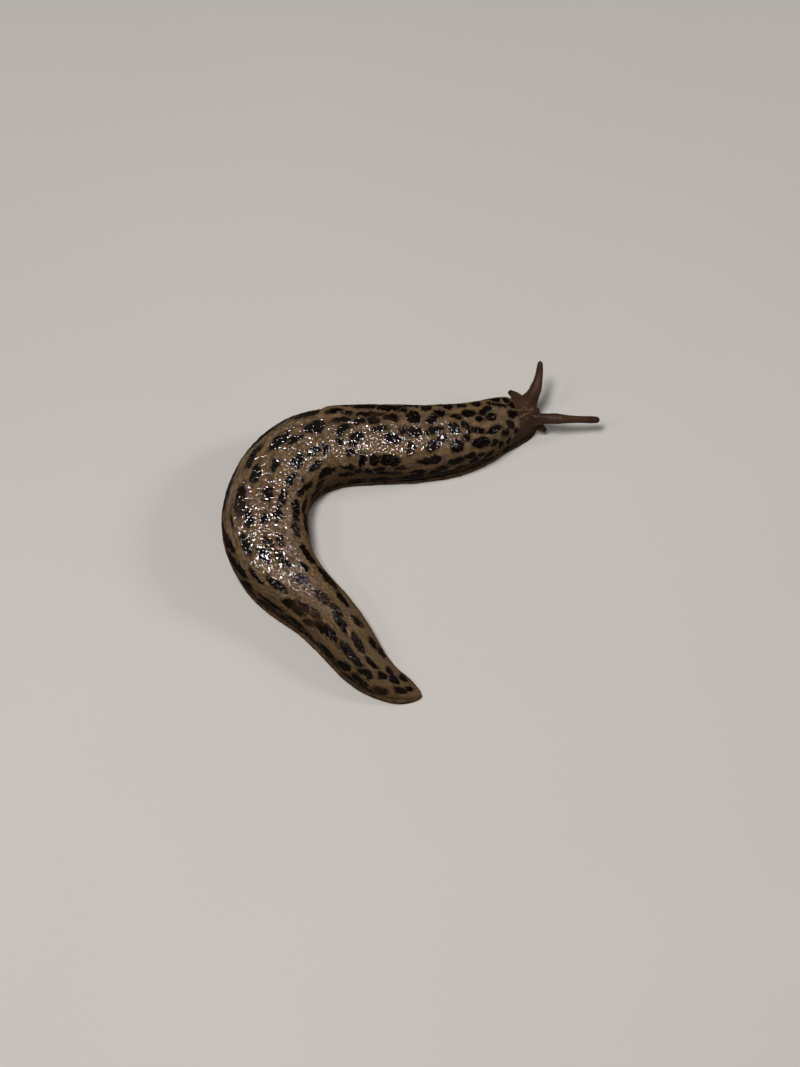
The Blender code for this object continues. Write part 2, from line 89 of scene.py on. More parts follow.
# Where the snout starts on the line, how far each end rounds off, and how high the snout is.
SNOUT_START = 0.9
SNOUT_ROUNDING = 5.6
SNOUT_HEIGHT = 3.2
SNOUT_POWER = 2.2
TAIL_ROUNDING = 5.5
TAIL_POWER = 1.9
TAIL_DROP = 0.7
print("sections given:", len(STATIONS), "widest:", 2 * max(row[1] for row in STATIONS), "mm")

# %% Smooth curves through given values
PATH_POINTS = 1200


def spline(knots, values, where):
    """Natural cubic spline: between two knots a cubic whose slope and bend carry on into
    the next one, and with no bend at the two ends."""
    knots = np.asarray(knots, float)
    values = np.asarray(values, float)
    step = np.diff(knots)
    slope = np.diff(values, axis=0) / step[:, None]
    matrix = np.eye(len(knots))
    right = np.zeros_like(values)
    for i in range(1, len(knots) - 1):
        matrix[i, i - 1:i + 2] = step[i - 1], 2 * (step[i - 1] + step[i]), step[i]
        right[i] = 6 * (slope[i] - slope[i - 1])
    bend = np.linalg.solve(matrix, right)
    span = np.clip(np.searchsorted(knots, where) - 1, 0, len(knots) - 2)
    along = (where - knots[span])[:, None]
    width = step[span][:, None]
    first = slope[span] - width * (2 * bend[span] + bend[span + 1]) / 6
    third = (bend[span + 1] - bend[span]) / (6 * width)
    return values[span] + along * first + along ** 2 * bend[span] / 2 + along ** 3 * third


def running_length(points):
    """Distance along a chain of points: the lengths of its legs, added up from 0."""
    legs = np.linalg.norm(np.diff(points, axis=0), axis=1)
    return np.concatenate([[0], np.cumsum(legs)])


def smooth_path(points, count):
    """Points at even distances on a spline that passes through the given ones."""
    points = np.asarray(points, float)
    chord = running_length(points)
    fine = spline(chord, points, np.linspace(0, chord[-1], PATH_POINTS))
    run = running_length(fine)
    even = np.linspace(0, run[-1], count)
    return np.stack([np.interp(even, run, column) for column in fine.T], axis=1)


def unit(vectors):
    """Vectors divided by their own length."""
    return vectors / np.linalg.norm(vectors, axis=-1, keepdims=True)


PATH = smooth_path(ROUTE, PATH_POINTS)
PATH_RUN = np.linspace(0, BODY_LENGTH, PATH_POINTS)
print("length of the middle line:", round(running_length(PATH)[-1], 1), "mm")

# %% [markdown]
# ## The skin as a function of two numbers
# Any place on the skin is named by s, the distance from the snout in millimetres, and u,
# the share of the way round: 0 under the middle of the sole, 0.5 on top of the back, and
# below 0.5 on the animal's left. The section is a closed soft curve round a few control
# points, so its sole is truly flat and its flanks and keel are round.

# %% The middle line and the rounded ends
HALF_STEP = 0.4


def on_path(s):
    """Points of the middle line at s, and the level direction to the animal's left there,
    square to the line between two points just before and just after."""
    def read(at):
        return np.stack([np.interp(at, PATH_RUN, column) for column in PATH.T], axis=-1)
    tailward = unit(read(s + HALF_STEP) - read(s - HALF_STEP))
    return read(s), np.stack([tailward[..., 1], -tailward[..., 0]], axis=-1)


def rounding(distance, radius, power):
    """1 in the body, falling to 0 at an end: the quarter of a superellipse."""
    share = np.clip(distance / radius, 0, 1)
    return (1 - (1 - share) ** power) ** (1 / power)


print("middle of the snout in mm:", on_path(np.array(SNOUT_START))[0].round(1).tolist())


# %% The section's control points and its curve
def cage(width, height, sole, keel):
    """Control points of the section: along the flat sole, round the fringe, up the flank,
    and over the back, then the same mirrored to the right."""
    nil = np.zeros_like(width)
    half = [(nil, nil), (0.6 * sole, nil), (sole, nil), (1.1 * sole + 0.5, nil),
            (1.12 * sole + 0.7, nil + 0.9), (0.5 * (width + sole) + 0.1, nil + 1.7),
            (1.03 * width, 0.28 * height), (1.04 * width, 0.5 * height),
            ((0.99 - 0.1 * keel) * width, 0.72 * height), ((0.8 - 0.26 * keel) * width, 0.93 * height),
            ((0.45 - 0.24 * keel) * width, 1.02 * height), (nil, (1.03 + 0.06 * keel) * height)]
    mirrored = [(-x, z) for x, z in reversed(half[1:-1])]
    return np.stack([np.stack(pair, axis=-1) for pair in half + mirrored], axis=1)


def section_points(u, control):
    """Closed uniform cubic B-spline: each point is the average of four neighbouring control
    points, with weights that slide smoothly as u goes round."""
    count = control.shape[1]
    place = (u % 1.0) * count
    first = np.floor(place).astype(int)
    t = place - first
    weights = [(1 - t) ** 3, 3 * t ** 3 - 6 * t ** 2 + 4, 1 + 3 * t + 3 * t ** 2 - 3 * t ** 3, t ** 3]
    rows = np.arange(len(u))
    return sum(weight[:, None] / 6 * control[rows, (first + shift - 1) % count]
               for shift, weight in enumerate(weights))


print("control points of a section:", cage(*np.ones((4, 1))).shape[1])

# %% The point itself, and the way out of the skin
STEP_ALONG = 0.05
STEP_ROUND = 0.002
GIRTH_COUNT = 260
GIRTH_SIDES = 120


def body_point(s, u):
    """The section at s, shrunk towards the snout's middle at the front and towards the
    ground at the tail, and set square across the middle line."""
    s, u = np.broadcast_arrays(np.asarray(s, float), np.asarray(u, float))
    shape = s.shape
    s, u = s.ravel(), u.ravel()
    knots = np.array(STATIONS, float)
    width, height, sole, keel = spline(knots[:, 0], knots[:, 1:], np.clip(s, 0, BODY_LENGTH)).T
    section = section_points(u, cage(width, height, sole, np.clip(keel, 0, 1)))
    snout = rounding(s - SNOUT_START, SNOUT_ROUNDING, SNOUT_POWER)
    tail = rounding(BODY_LENGTH - s, TAIL_ROUNDING, TAIL_POWER)
    side = section[:, 0] * snout * tail
    up = (SNOUT_HEIGHT + (section[:, 1] - SNOUT_HEIGHT) * snout) * tail ** TAIL_DROP
    middle, left = on_path(s)
    return np.column_stack([middle + side[:, None] * left, up]).reshape(*shape, 3)


def skin_normal(s, u):
    """Straight out of the skin: square to a small step along it and a small step round it."""
    along = body_point(s + STEP_ALONG, u) - body_point(s - STEP_ALONG, u)
    around = body_point(s, u + STEP_ROUND) - body_point(s, u - STEP_ROUND)
    return unit(np.cross(along, around))


girth_places = np.linspace(0, BODY_LENGTH, GIRTH_COUNT)
girth_rings = body_point(girth_places[:, None], np.linspace(0, 1, GIRTH_SIDES + 1)[None, :])
GIRTHS = np.linalg.norm(np.diff(girth_rings, axis=1), axis=2).sum(axis=1)
WIDEST_GIRTH = GIRTHS.max()
print("widest girth:", round(WIDEST_GIRTH, 1), "mm")


def girth(s):
    """Distance round the section at s."""
    return np.interp(s, girth_places, GIRTHS)


# %% [markdown]
# ## Noise and pebbles
# Nothing on a slug is even. Two patterns make it wander: a smooth noise, and a pebble
# pattern for the raised wrinkles of the back. Both are tables of seeded random numbers
# read at whole steps, so they are the same each time and close on themselves round the body.

# %% Easing and simple curves
def ease(t):
    """0 to 1 with a level start and end: three squares less two cubes."""
    t = np.clip(t, 0, 1)
    return t * t * (3 - 2 * t)


def rises(value, start, length):
    """0 up to the start, then eased to 1 over a length."""
    return ease((value - start) / length)


def falls(value, start, length):
    """1 up to the start, then eased to 0 over a length."""
    return 1 - ease((value - start) / length)


def bell(distance, width):
    """1 at no distance, falling off as the Gaussian curve of that width."""
    return np.exp(-(distance / width) ** 2)


def waves(turns):
    """A cosine that goes from 1 to 0 and back with each whole turn."""
    return 0.5 + 0.5 * np.cos(math.tau * turns)


print("a quarter of the way through a rise:", ease(0.25))

# %% The two seeded patterns
TABLE_ROWS = 512
STRAY_ALONG = 0.36
STRAY_ROUND = 0.22


def wander(a, b, period, seed):
    """Smooth noise from -1 to 1: random values at whole steps of a and b, eased from each
    to the next. It repeats after so many steps of b."""
    table = np.random.default_rng(seed).uniform(-1, 1, (TABLE_ROWS, period))
    ia = np.floor(a).astype(int)
    ib = np.floor(b).astype(int)
    fa = ease(a - ia)
    fb = ease(b - ib)

    def pick(da, db):
        return table[(ia + da) % TABLE_ROWS, (ib + db) % period]
    near = pick(0, 0) * (1 - fb) + pick(0, 1) * fb
    far = pick(1, 0) * (1 - fb) + pick(1, 1) * fb
    return near * (1 - fa) + far * fa


def swells(s, u, *layers):
    """Noises added up. Each is its height, its length along the body in millimetres, its
    steps round the body, and its seed."""
    return sum(height * wander(s / length, u * steps, steps, seed)
               for height, length, steps, seed in layers)


def pebbles(a, b, period, seed):
    """Cells round one seed point in each unit square, every second row shifted by half a
    step. The value is how much nearer the nearest seed is than the next: 0 in a groove."""
    table = np.random.default_rng(seed).uniform(-1, 1, (TABLE_ROWS, period, 2))
    ia = np.floor(a).astype(int)
    ib = np.floor(b).astype(int)
    nearest = np.full(a.shape, 9.0)
    second = np.full(a.shape, 9.0)
    for da in range(-2, 2):
        for db in range(-1, 2):
            ka = ia + da
            kb = ib + db
            jitter = table[ka % TABLE_ROWS, kb % period]
            seed_a = ka + 0.5 + 0.5 * (kb % 2) + STRAY_ALONG * jitter[..., 0]
            seed_b = kb + 0.5 + STRAY_ROUND * jitter[..., 1]
            distance = np.hypot(a - seed_a, b - seed_b)
            second = np.minimum(second, np.maximum(nearest, distance))
            nearest = np.minimum(nearest, distance)
    return second - nearest


def rounded(gap, width):
    """A rounded top from the pebbles' value: 0 in the groove, 1 from a width beside it."""
    return 1 - (1 - np.clip(gap / width, 0, 1)) ** 2


sample_a, sample_b = np.meshgrid(np.arange(0, 30, 0.1), np.arange(0, 16, 0.1))
groove_share = (pebbles(sample_a, sample_b, 16, 1) < 0.1).mean()
print("share of a pebble pattern that is groove:", round(float(groove_share), 2))

# %% [markdown]
# ## The spots
# The spots are dark pigment in the skin: long blots in rows down the back, small and
# crowded on the front of the mantle, and stretched to streaks on the flanks. A painted
# image could carry them, but a list of where each one lies keeps them sharp at any size.
# Each spot is its place, its half length along the body, its half width as a share of the
# way round, and its slant. The blots of the far flank follow the same rule, drawn by chance.

# %% Where the spots are
# Distance from the snout, share of the way round, half length, half width, and the slant
# where there is one.
BACK_SPOTS = [
    (59, .393, 3.8, .019), (53, .415, 2.3, .016), (70.3, .365, 3.9, .024),
    (78.8, .36, 3, .017, .007), (83.6, .352, 2.4, .015, .004), (86.8, .33, 1.1, .016),
    (91.8, .338, 2.4, .013), (65, .43, 2.2, .011), (73.4, .438, 3, .015), (82.3, .433, 1.9, .014),
    (87.6, .397, 1.7, .008), (91.2, .427, 2, .012), (52.4, .48, 2, .018), (59.8, .464, 2.2, .014),
    (68, .465, 1.8, .012), (77.5, .462, 2, .01), (85.5, .465, 1.5, .014), (57.2, .488, 1.9, .008),
    (65, .502, 1.6, .01), (72, .51, 2.2, .012), (78, .503, 1.2, .01), (83.7, .492, 1.6, .01),
    (84, .525, 1.6, .012), (88.5, .5, 2, .012), (94.3, .498, 1.7, .015, .003),
    (52, .553, 1.4, .014), (54.7, .545, 2.1, .011), (60, .54, 2, .011), (66.6, .56, 2.2, .01),
    (72.5, .548, 2.3, .009), (77.3, .535, 2.1, .012), (92.6, .54, 1.1, .008), (57, .588, 2.7, .01),
    (75.8, .59, 3.5, .013), (82.3, .583, 2.5, .013), (90.1, .588, 3, .016, .002),
    (97.2, .6, 2.5, .017), (53.9, .633, 3.6, .015), (66.5, .612, 3.9, .012, -.004),
    (58.4, .662, 3.2, .012), (72, .632, 3.5, .011, -.002), (78.5, .64, 4, .011), (62, .69, 5, .015),
    (61.5, .555, 1, .007), (77.2, .412, 1.2, .006, .003), (46.3, .476, 2, .006), (64, .59, 1, .006)]
TAIL_SPOTS = [
    (98.5, .315, 2.8, .02), (108.5, .315, 2.5, .026, .004), (96.5, .395, 2.4, .016),
    (98.7, .42, 1.7, .012), (101.2, .425, 1.6, .012), (106.3, .412, 3, .018, .003),
    (112.6, .425, 3, .016, -.001), (99.8, .505, 1.6, .015), (105.8, .5, 2.9, .017, -.005),
    (112.3, .51, 1.9, .023), (117, .495, 1.3, .018), (113.3, .35, 1.2, .022, .005),
    (117.2, .345, 1.2, .022), (117.5, .408, 1.1, .017, .005), (121.2, .352, .9, .02, .008),
    (120.2, .472, .9, .026), (122.7, .52, 1, .045), (108, .583, 1.1, .014, .008),
    (113.8, .6, 1.2, .014), (116, .618, 1.2, .015), (120.8, .57, .7, .02),
    (101.3, .375, 1, .011, .004), (102.5, .58, 1.4, .01), (124.6, .42, .9, .03),
    (124.4, .6, .8, .03), (126.3, .5, .7, .04)]
MANTLE_SPOTS = [
    (8.6, .525, 1, .018), (10.2, .572, .9, .02), (7.8, .478, .6, .015),
    (10.6, .466, 1.3, .009, -.011), (10.4, .42, 1, .022), (14.4, .478, 1.5, .012, .006),
    (18.3, .471, 1.5, .013), (16.3, .502, .7, .012), (13.7, .512, 1.1, .014),
    (14.5, .564, 1.5, .012), (17.5, .546, 1.3, .011, -.006), (12.4, .598, .9, .012),
    (15.4, .613, .8, .011), (17.9, .593, 1.6, .016, -.004), (20.5, .559, .8, .01),
    (21.4, .478, .8, .009, -.006), (19.8, .514, .9, .014, -.008), (22.6, .519, 1, .02, -.006),
    (22.9, .583, 1.4, .019), (20.5, .63, .8, .01), (11.6, .655, .7, .024), (13.9, .643, .6, .018),
    (16.5, .675, .9, .025), (17.9, .716, .9, .026), (19.8, .668, .6, .024), (12, .75, 1, .04),
    (23, .638, 1.3, .011), (22, .691, 1.1, .016), (24.8, .458, 1.3, .011),
    (26.7, .474, 1.5, .012, .004), (26.6, .514, 1.2, .009), (31.3, .467, 1.3, .02),
    (31.4, .52, 1.4, .015), (31.8, .572, .9, .018), (27.3, .57, 1.3, .018), (28, .618, 2.1, .014),
    (35.8, .47, 1.4, .013), (40, .478, 1.4, .014), (42.8, .482, 1.6, .007), (38, .505, 1.2, .006),
    (35.5, .54, 1.5, .014), (36.3, .607, 1.8, .018), (39.7, .61, 1.3, .018), (45.2, .58, 1.3, .01),
    (46.6, .506, 1.3, .011, .005), (44.2, .55, 1, .01), (45, .452, 1.1, .006),
    (48, .438, 1.5, .008), (40.8, .455, 2.8, .006), (46.4, .634, 1.7, .011), (47, .672, 2, .012),
    (41.2, .66, 1, .012), (43.5, .655, 1, .01), (36.8, .668, 2, .011), (30.5, .67, 1.2, .012),
    (31.2, .398, 1.4, .018), (35.7, .425, 3, .014), (41.5, .415, 2.2, .017),
    (27.9, .424, 1.2, .018), (22.4, .42, 1.3, .018), (15, .427, .9, .017), (18.8, .425, 1.1, .014),
    (24.6, .402, 1, .012), (43.8, .526, .9, .011), (47.7, .54, 1, .008), (33.5, .512, .8, .008),
    (28.4, .522, .5, .008), (25.5, .548, .7, .012), (19.5, .536, .5, .008), (18.2, .644, .6, .008),
    (25.7, .662, 1.2, .012), (27.3, .69, 1.1, .018), (30.6, .7, 1.2, .013), (34, .64, 1.2, .009),
    (38.6, .645, 1, .008, .003), (9.2, .615, .6, .014), (8.3, .445, .5, .014),
    (12.3, .445, .6, .01), (33.2, .44, 1, .009), (42.7, .61, .42, .024), (11.2, .375, .8, .018),
    (14.4, .382, .9, .014), (17.4, .37, 1.1, .016), (20.8, .376, .9, .014, .003),
    (24.3, .355, 1.2, .015), (28.2, .375, 1, .014), (31.3, .352, 1.1, .013), (35, .378, 1.2, .012),
    (38.4, .352, 1.3, .014, -.003), (41.6, .374, 1, .012), (45, .4, 1.2, .01),
    (13.2, .338, .8, .014), (16.4, .326, 1, .014), (20.2, .338, .9, .013), (23.6, .322, 1, .013),
    (27.4, .332, 1.2, .012, .002), (31.4, .318, .9, .012), (34.6, .336, 1.1, .012),
    (42.3, .34, .9, .01)]
print("spots that the photo shows:", len(BACK_SPOTS + TAIL_SPOTS + MANTLE_SPOTS))

# %% Streaks on the low flanks
FAR_ROWS = (0.235, 0.27, 0.305, 0.735, 0.77)
FAR_START = 13.0
FAR_STAGGER = 4.0
FAR_END = 121.0
FAR_HALF_LENGTH = (1.3, 3.4)
FAR_HALF_WIDTH = (0.009, 0.016)
FAR_STRAY = 0.01
FAR_SLANT = 0.003
FAR_GAP = (0.6, 2.4)


def far_spots(seed):
    """Streaks in rows along the low flanks, each after a random gap, shorter to the tail."""
    rng = np.random.default_rng(seed)
    spots = []
    for row in FAR_ROWS:
        s = FAR_START + rng.uniform(0, FAR_STAGGER)
        while s < FAR_END:
            half = rng.uniform(*FAR_HALF_LENGTH) * girth(s) / WIDEST_GIRTH
            stray = rng.uniform(-FAR_STRAY, FAR_STRAY)
            spots.append((s + half, row + stray, half, rng.uniform(*FAR_HALF_WIDTH),
                          rng.uniform(-FAR_SLANT, FAR_SLANT)))
            s += 2 * half + rng.uniform(*FAR_GAP)
    return spots


SEEN_SPOTS = [(*spot, 0)[:5] for spot in BACK_SPOTS + TAIL_SPOTS + MANTLE_SPOTS]
ALL_SPOTS = np.array(SEEN_SPOTS + far_spots(5))
print("spots with the streaks:", len(ALL_SPOTS))

# %% How deep in a spot each place of the skin is
SPOT_POWER = 2.1
NOISE_GRAIN = 52
FAR_OUTSIDE = -1.5
MANTLE_GROWTH = 0.06
TAIL_GROWTH = 0.13
HALF_GAP = 0.16
GAP_SLOPE = 0.7
# Where the small spots of the front end, those of the mantle end, and those of the tail start.
FRONT_END = 17.0
MANTLE_END = 44.0
TAIL_START = 90.0
FRAY = 1.05
LESS_IN_FRONT = 0.5
LESS_ON_TAIL = 0.25


def spot_depth(s, u):
    """Millimetres inside the nearest spot, below 0 outside. A spot is a superellipse round
    its place, and the place that is asked for is first nudged by noise, which frays it. The
    spots of the mantle and the tail are a little larger all round and less frayed, and a thin
    line of the ground colour parts two spots that touch, where both are equally near."""
    across = u * NOISE_GRAIN + s * 0.35
    on_tail = rises(s, TAIL_START, 8)
    growth = MANTLE_GROWTH * falls(s, MANTLE_END, 8) + TAIL_GROWTH * on_tail
    fray = FRAY - LESS_IN_FRONT * falls(s, FRONT_END, 9) - LESS_ON_TAIL * on_tail
    nudged_s = s + 0.5 * fray * wander(s * 0.7, across * 0.5, NOISE_GRAIN // 2, 11)
    nudged_s = nudged_s + 0.3 * fray * wander(s * 2.1, across * 2, 2 * NOISE_GRAIN, 12)
    nudge = 0.28 * wander(s * 0.8, across, NOISE_GRAIN, 13)
    nudge += 0.21 * wander(s * 1.9, across * 2, 2 * NOISE_GRAIN, 14)
    nudged_u = u + fray * nudge / girth(s)
    nearest = np.full(s.shape, FAR_OUTSIDE)
    second = np.full(s.shape, FAR_OUTSIDE)
    for place, row, half_length, half_width, slant in ALL_SPOTS:
        reach_s = np.abs(nudged_s - place) / half_length
        reach_u = np.abs(nudged_u - row - slant * (nudged_s - place)) / half_width
        reach = (reach_s ** SPOT_POWER + reach_u ** SPOT_POWER) ** (1 / SPOT_POWER)
        size = min(half_length, half_width * girth(place))
        depth = (1 - reach) * size
        second = np.maximum(second, np.minimum(nearest, depth))
        nearest = np.maximum(nearest, depth)
    return np.minimum(nearest + growth, GAP_SLOPE * (nearest - second) - HALF_GAP)


first_spot = spot_depth(*np.array(BACK_SPOTS[0][:2])[:, None])[0]
print("depth in the middle of the first spot:", round(float(first_spot), 2), "mm")

# %% [markdown]
# ## The raised skin
# Small, lengthwise pebbles of skin cover the back, and they stretch to long folds on the
# flanks. Displacement from an image would need very fine faces, so the height is worked
# out here for each point of the mesh, and the shader only adds the finest grain.

# %% Height of the pebbles and folds
PEBBLE_ROWS = 54
PEBBLE_LENGTH = 1.6
SHORTEST_PEBBLE = 0.42
PEBBLE_EDGE = 0.55
FOLD_ROWS = 58
FOLD_SHARE = 0.65
FLANK_TOP = 0.33
WRINKLE_HEIGHT = 0.2
HEAD_END = 8.0

pebble_lengths = PEBBLE_LENGTH * np.clip(GIRTHS / WIDEST_GIRTH, SHORTEST_PEBBLE, 1)


def steps_so_far(run, step):
    """How many steps fit into a run up to each place, where the step's length changes on
    the way: a running sum, from 0."""
    return np.concatenate([[0], np.cumsum(np.diff(run) / step[1:])])


pebble_run = steps_so_far(girth_places, pebble_lengths)


def from_sole(u):
    """Share of the way round from the middle of the sole, 0.5 at the back, on both sides."""
    return np.minimum(u % 1.0, 1 - u % 1.0)


def wrinkles(s, u):
    """Rounded tops between narrow grooves, 0 to 1. The back has the pebble pattern, long
    along the body. The flanks have waves whose crests run along it and wander."""
    a = np.interp(s, girth_places, pebble_run)
    drift = 0.6 * wander(a * 0.4, u * 18, 18, 21) + 0.3 * wander(a * 1.1, u * 27, 27, 22)
    pebble = rounded(pebbles(a, u * PEBBLE_ROWS + drift, PEBBLE_ROWS, 23), PEBBLE_EDGE)
    turns = u * FOLD_ROWS + 1.1 * wander(a * 0.33, u * 15, 15, 24) + 0.45 * wander(a, u * 29, 29, 25)
    low = 0.75 * falls(from_sole(u), FLANK_TOP, 0.1)
    return pebble * (1 - low) + ((1 - FOLD_SHARE) * pebble + FOLD_SHARE * waves(turns)) * low


print("pebbles from snout to tail:", round(float(pebble_run[-1])))

# %% [markdown]
# ## The fringe of the foot
# A narrow hem goes round the foot, set off from the flank by a furrow. Fine grooves cross
# it, a little uneven. Under the head it is the foot's own front edge, just below the mouth.
# The furrow keeps to a height above the ground, so that it can run on round the front,
# where the sections shrink to a point.

# %% Height of the furrow and the hem
FURROW_HEIGHT = 1.6
FURROW_FRONT = 1.0
FURROW_WIDTH = 0.19
FURROW_DEPTH = 0.24
FRINGE_PITCH = 0.5
FRINGE_LIFT = 0.1
FRINGE_GROOVE = 0.06
SOLE_EDGE = 0.04
CORNER_BACK = 4.5
CORNER_RADIUS = 4.0

snout_middle, snout_left = on_path(np.array(SNOUT_START))
SNOUT_AHEAD = np.array([snout_left[1], -snout_left[0], 0.0])
SNOUT_SIDE = np.array([snout_left[0], snout_left[1], 0.0])
SNOUT_BASE = np.array([snout_middle[0], snout_middle[1], 0.0])


def from_snout(points):
    """How far points lie ahead of the snout's tip, to its left, and above the ground."""
    away = points - SNOUT_BASE
    return away @ SNOUT_AHEAD, away @ SNOUT_SIDE, away[..., 2]


def furrow_height(s):
    """Low under the mouth, level along the body, and down with the tail."""
    tail = rounding(BODY_LENGTH - s, TAIL_ROUNDING, TAIL_POWER)
    return (FURROW_FRONT + (FURROW_HEIGHT - FURROW_FRONT) * rises(s, 2, 7)) * tail ** TAIL_DROP


def fringe_run(s, ahead, side):
    """Distance along the hem: s on the flanks, and round the front the length of an arc
    about a point behind the snout."""
    lean = np.abs(np.arctan2(side, ahead + CORNER_BACK))
    round_front = SNOUT_START + CORNER_BACK - CORNER_RADIUS * (math.pi / 2 - lean)
    return np.where((ahead > -CORNER_BACK) & (s < 12), round_front, s)


def fringe(s, ahead, side, up):
    """Height of the hem and its furrow, and how far their hollows are filled, 0 to 1. The
    furrow is a bell across its height, and the cross grooves are a sharpened cosine."""
    above = rises(up, SOLE_EDGE, 0.22)
    beside = up - furrow_height(s)
    band = above * falls(beside, -0.24, 0.2)
    fade = 0.25 + 0.75 * ease((BODY_LENGTH - 1 - s) / 14)
    run = fringe_run(s, ahead, side)
    wobble = 0.6 * wander(run / 1.7, up * 1.5, 512, 33) + 0.25 * wander(run / 0.6, up * 3, 512, 34)
    grooves = waves(run / FRINGE_PITCH + wobble) ** 3
    furrow = bell(beside, FURROW_WIDTH)
    swell = 0.1 * wander(run / 2.6, up, 512, 35) + 0.06 * wander(run / 1.1, up, 512, 36)
    hem = band * (swell - FRINGE_GROOVE * grooves + FRINGE_LIFT)
    height = fade * (hem - FURROW_DEPTH * furrow * above)
    # The third value sets the painted shade of the cross grooves and the furrow.
    return height, above, np.clip(1 - fade * (0.75 * band * grooves + 0.7 * furrow), 0, 1), band


print("furrow above the ground, front and middle:", furrow_height(np.array([2.0, 60.0])).round(1), "mm")

# %% [markdown]
# ## The face
# Seen from the front, the mouth is an upright slit between two soft lobes, low on the
# snout, with fine creases that run into it and a brow above. It could be cut by a Boolean,
# but flesh has no such edges. Bells push the lobes out of the snout and draw the slit in.
# The creases are a cosine of the angle round the mouth.

# %% The lips, the slit and the creases round them
LOBE_SIDE = 1.05
LOBE_UP = 2.15
LOBE_SIZE = 0.92
LOBE_HEIGHT = 0.6
MOUTH_UP = 2.0
SLIT_DEPTH = 0.95
SLIT_HALF_WIDTH = 0.2
SLIT_HALF_HEIGHT = 0.95
COLLAR_AWAY = 2.25
COLLAR_WIDTH = 0.22
CREASES = 34


def face(ahead, side, up):
    """Height of the lips over the snout, and how far the hollows are filled."""
    front = rises(ahead, -2.9, 1.5)
    lobe = bell(np.hypot(np.abs(side) - LOBE_SIDE, (up - LOBE_UP) * 0.8), LOBE_SIZE)
    slit = bell(side + 0.08 * np.sin(up * 3), SLIT_HALF_WIDTH) * bell(up - MOUTH_UP, SLIT_HALF_HEIGHT)
    away = np.hypot(side, (up - MOUTH_UP) * 0.85)
    collar = bell(away - COLLAR_AWAY, COLLAR_WIDTH)
    angle = np.arctan2(up - MOUTH_UP, side)
    creases = (0.5 + 0.5 * np.cos(CREASES * angle + 2.5 * wander(angle * 3 + 20, away, 512, 62))) ** 2
    creases *= rises(away, 0.5, 0.5) * falls(away, 2.6, 1.2)
    grain = rounded(pebbles(up * 2.1 + 30, side * 2.1 + 64, 128, 63), 0.6) * rises(away, 1.9, 0.8)
    lips = LOBE_HEIGHT * lobe - SLIT_DEPTH * slit - 0.13 * collar
    height = front * (lips - 0.06 * creases + 0.07 * grain)
    # Where less is filled, the finish paints shade into the slit, the collar and the creases.
    filled = 1 - front * np.clip(0.95 * slit + 0.35 * collar + 0.3 * creases, 0, 1)
    return height, filled


slit_height = face(*np.array([[0.0], [0.0], [MOUTH_UP]]))[0][0]
lobe_height = face(*np.array([[0.0], [LOBE_SIDE], [LOBE_UP]]))[0][0]
print("the slit lies", round(float(lobe_height - slit_height), 2), "mm below the lobes")

# %% Two pale lines on the neck
NECK_FORK = (3.2, 0.526)
NECK_SPREAD = (-0.003, 0.0052)
NECK_HALF_GAP = 0.005
NECK_LINE_WIDTH = 0.005
GROOVE_BESIDE = 0.011


def neck_lines(s, u, shift=0.0):
    """Two ridges that start close together between the upper tentacles and spread towards
    the mantle: each a bell across its own slanted line. A shift moves both to one side."""
    back = s - NECK_FORK[0]
    across = u - NECK_FORK[1] - 0.002 * np.sin(2.3 * back) - shift
    lines = sum(bell(across - sign * NECK_HALF_GAP - spread * back, NECK_LINE_WIDTH)
                for sign, spread in zip((-1, 1), NECK_SPREAD))
    return lines * rises(s, 2.6, 0.8) * falls(s, 7.5, 1.0)


print("width of a neck line:", round(2 * NECK_LINE_WIDTH * float(girth(NECK_FORK[0])), 2), "mm")

# %% The whole relief
RIDGE_LIFT = 0.09
GROOVE_DEPTH = 0.12
NECK_CREASE_DEPTH = 0.05
HEAD_SMOOTHER = 0.62


def relief(s, u, points):
    """Height above the plain body, the share of it that the wrinkles fill, and the hem's
    share. It all settles to nothing on the flat sole, and the pattern of the back at the
    snout's tip, where its columns meet."""
    side = from_sole(u)
    ahead, left, up = from_snout(points)
    hem_height, above, hem_filled, band = fringe(s, ahead, left, up)
    lips_height, lips_filled = face(ahead, left, up)
    tail = ease((BODY_LENGTH - s) / 8)
    head = falls(s, HEAD_END - 2.5, 4)
    top = wrinkles(s, u)
    body = rises(s, SNOUT_START, 2.6) * above * (1 - band) * rises(side, 0.16, 0.05)
    amount = WRINKLE_HEIGHT * (1 - HEAD_SMOOTHER * head) * (0.4 + 0.6 * tail)
    swell = swells(s, u, (0.14, 5.5, 9, 31), (0.05, 2.4, 16, 32))
    grooves = neck_lines(s, u, GROOVE_BESIDE)
    creases = bell(np.sin((s + 6 * (side - 0.4) ** 2) * 3.1), 0.3) * bell(s - 6.2, 1.9)
    body_height = amount * (top - 0.5) + swell * (1 - 0.45 * head) * tail
    body_height += RIDGE_LIFT * neck_lines(s, u) - GROOVE_DEPTH * grooves - NECK_CREASE_DEPTH * creases
    height = above * (body * body_height + lips_height) + hem_height
    # Less filled means more painted shade: between the pebbles, in the grooves beside the neck lines and
    # in the neck's creases.
    filled = 1 - body * (1 - top) * (1 - 0.5 * head) - 0.8 * grooves - 0.2 * creases
    return height, np.clip(filled, 0, 1) * hem_filled * lips_filled, band


back_s = np.linspace(50, 80, 600)
back_u = np.full(600, 0.5)
back_relief = relief(back_s, back_u, body_point(back_s, back_u))[0]
print("relief on the back, lowest and highest:", back_relief.min().round(2), back_relief.max().round(2))

# %% [markdown]
# ## The mantle's outline
# The mantle is the smooth shield over the front third of the back. Its edge lies free on
# the body, so it is a piece of its own here. The outline is a superellipse in (s, u): a
# long rounded oblong, blunter in front. The body dips under it, so that neither cuts
# through the other.

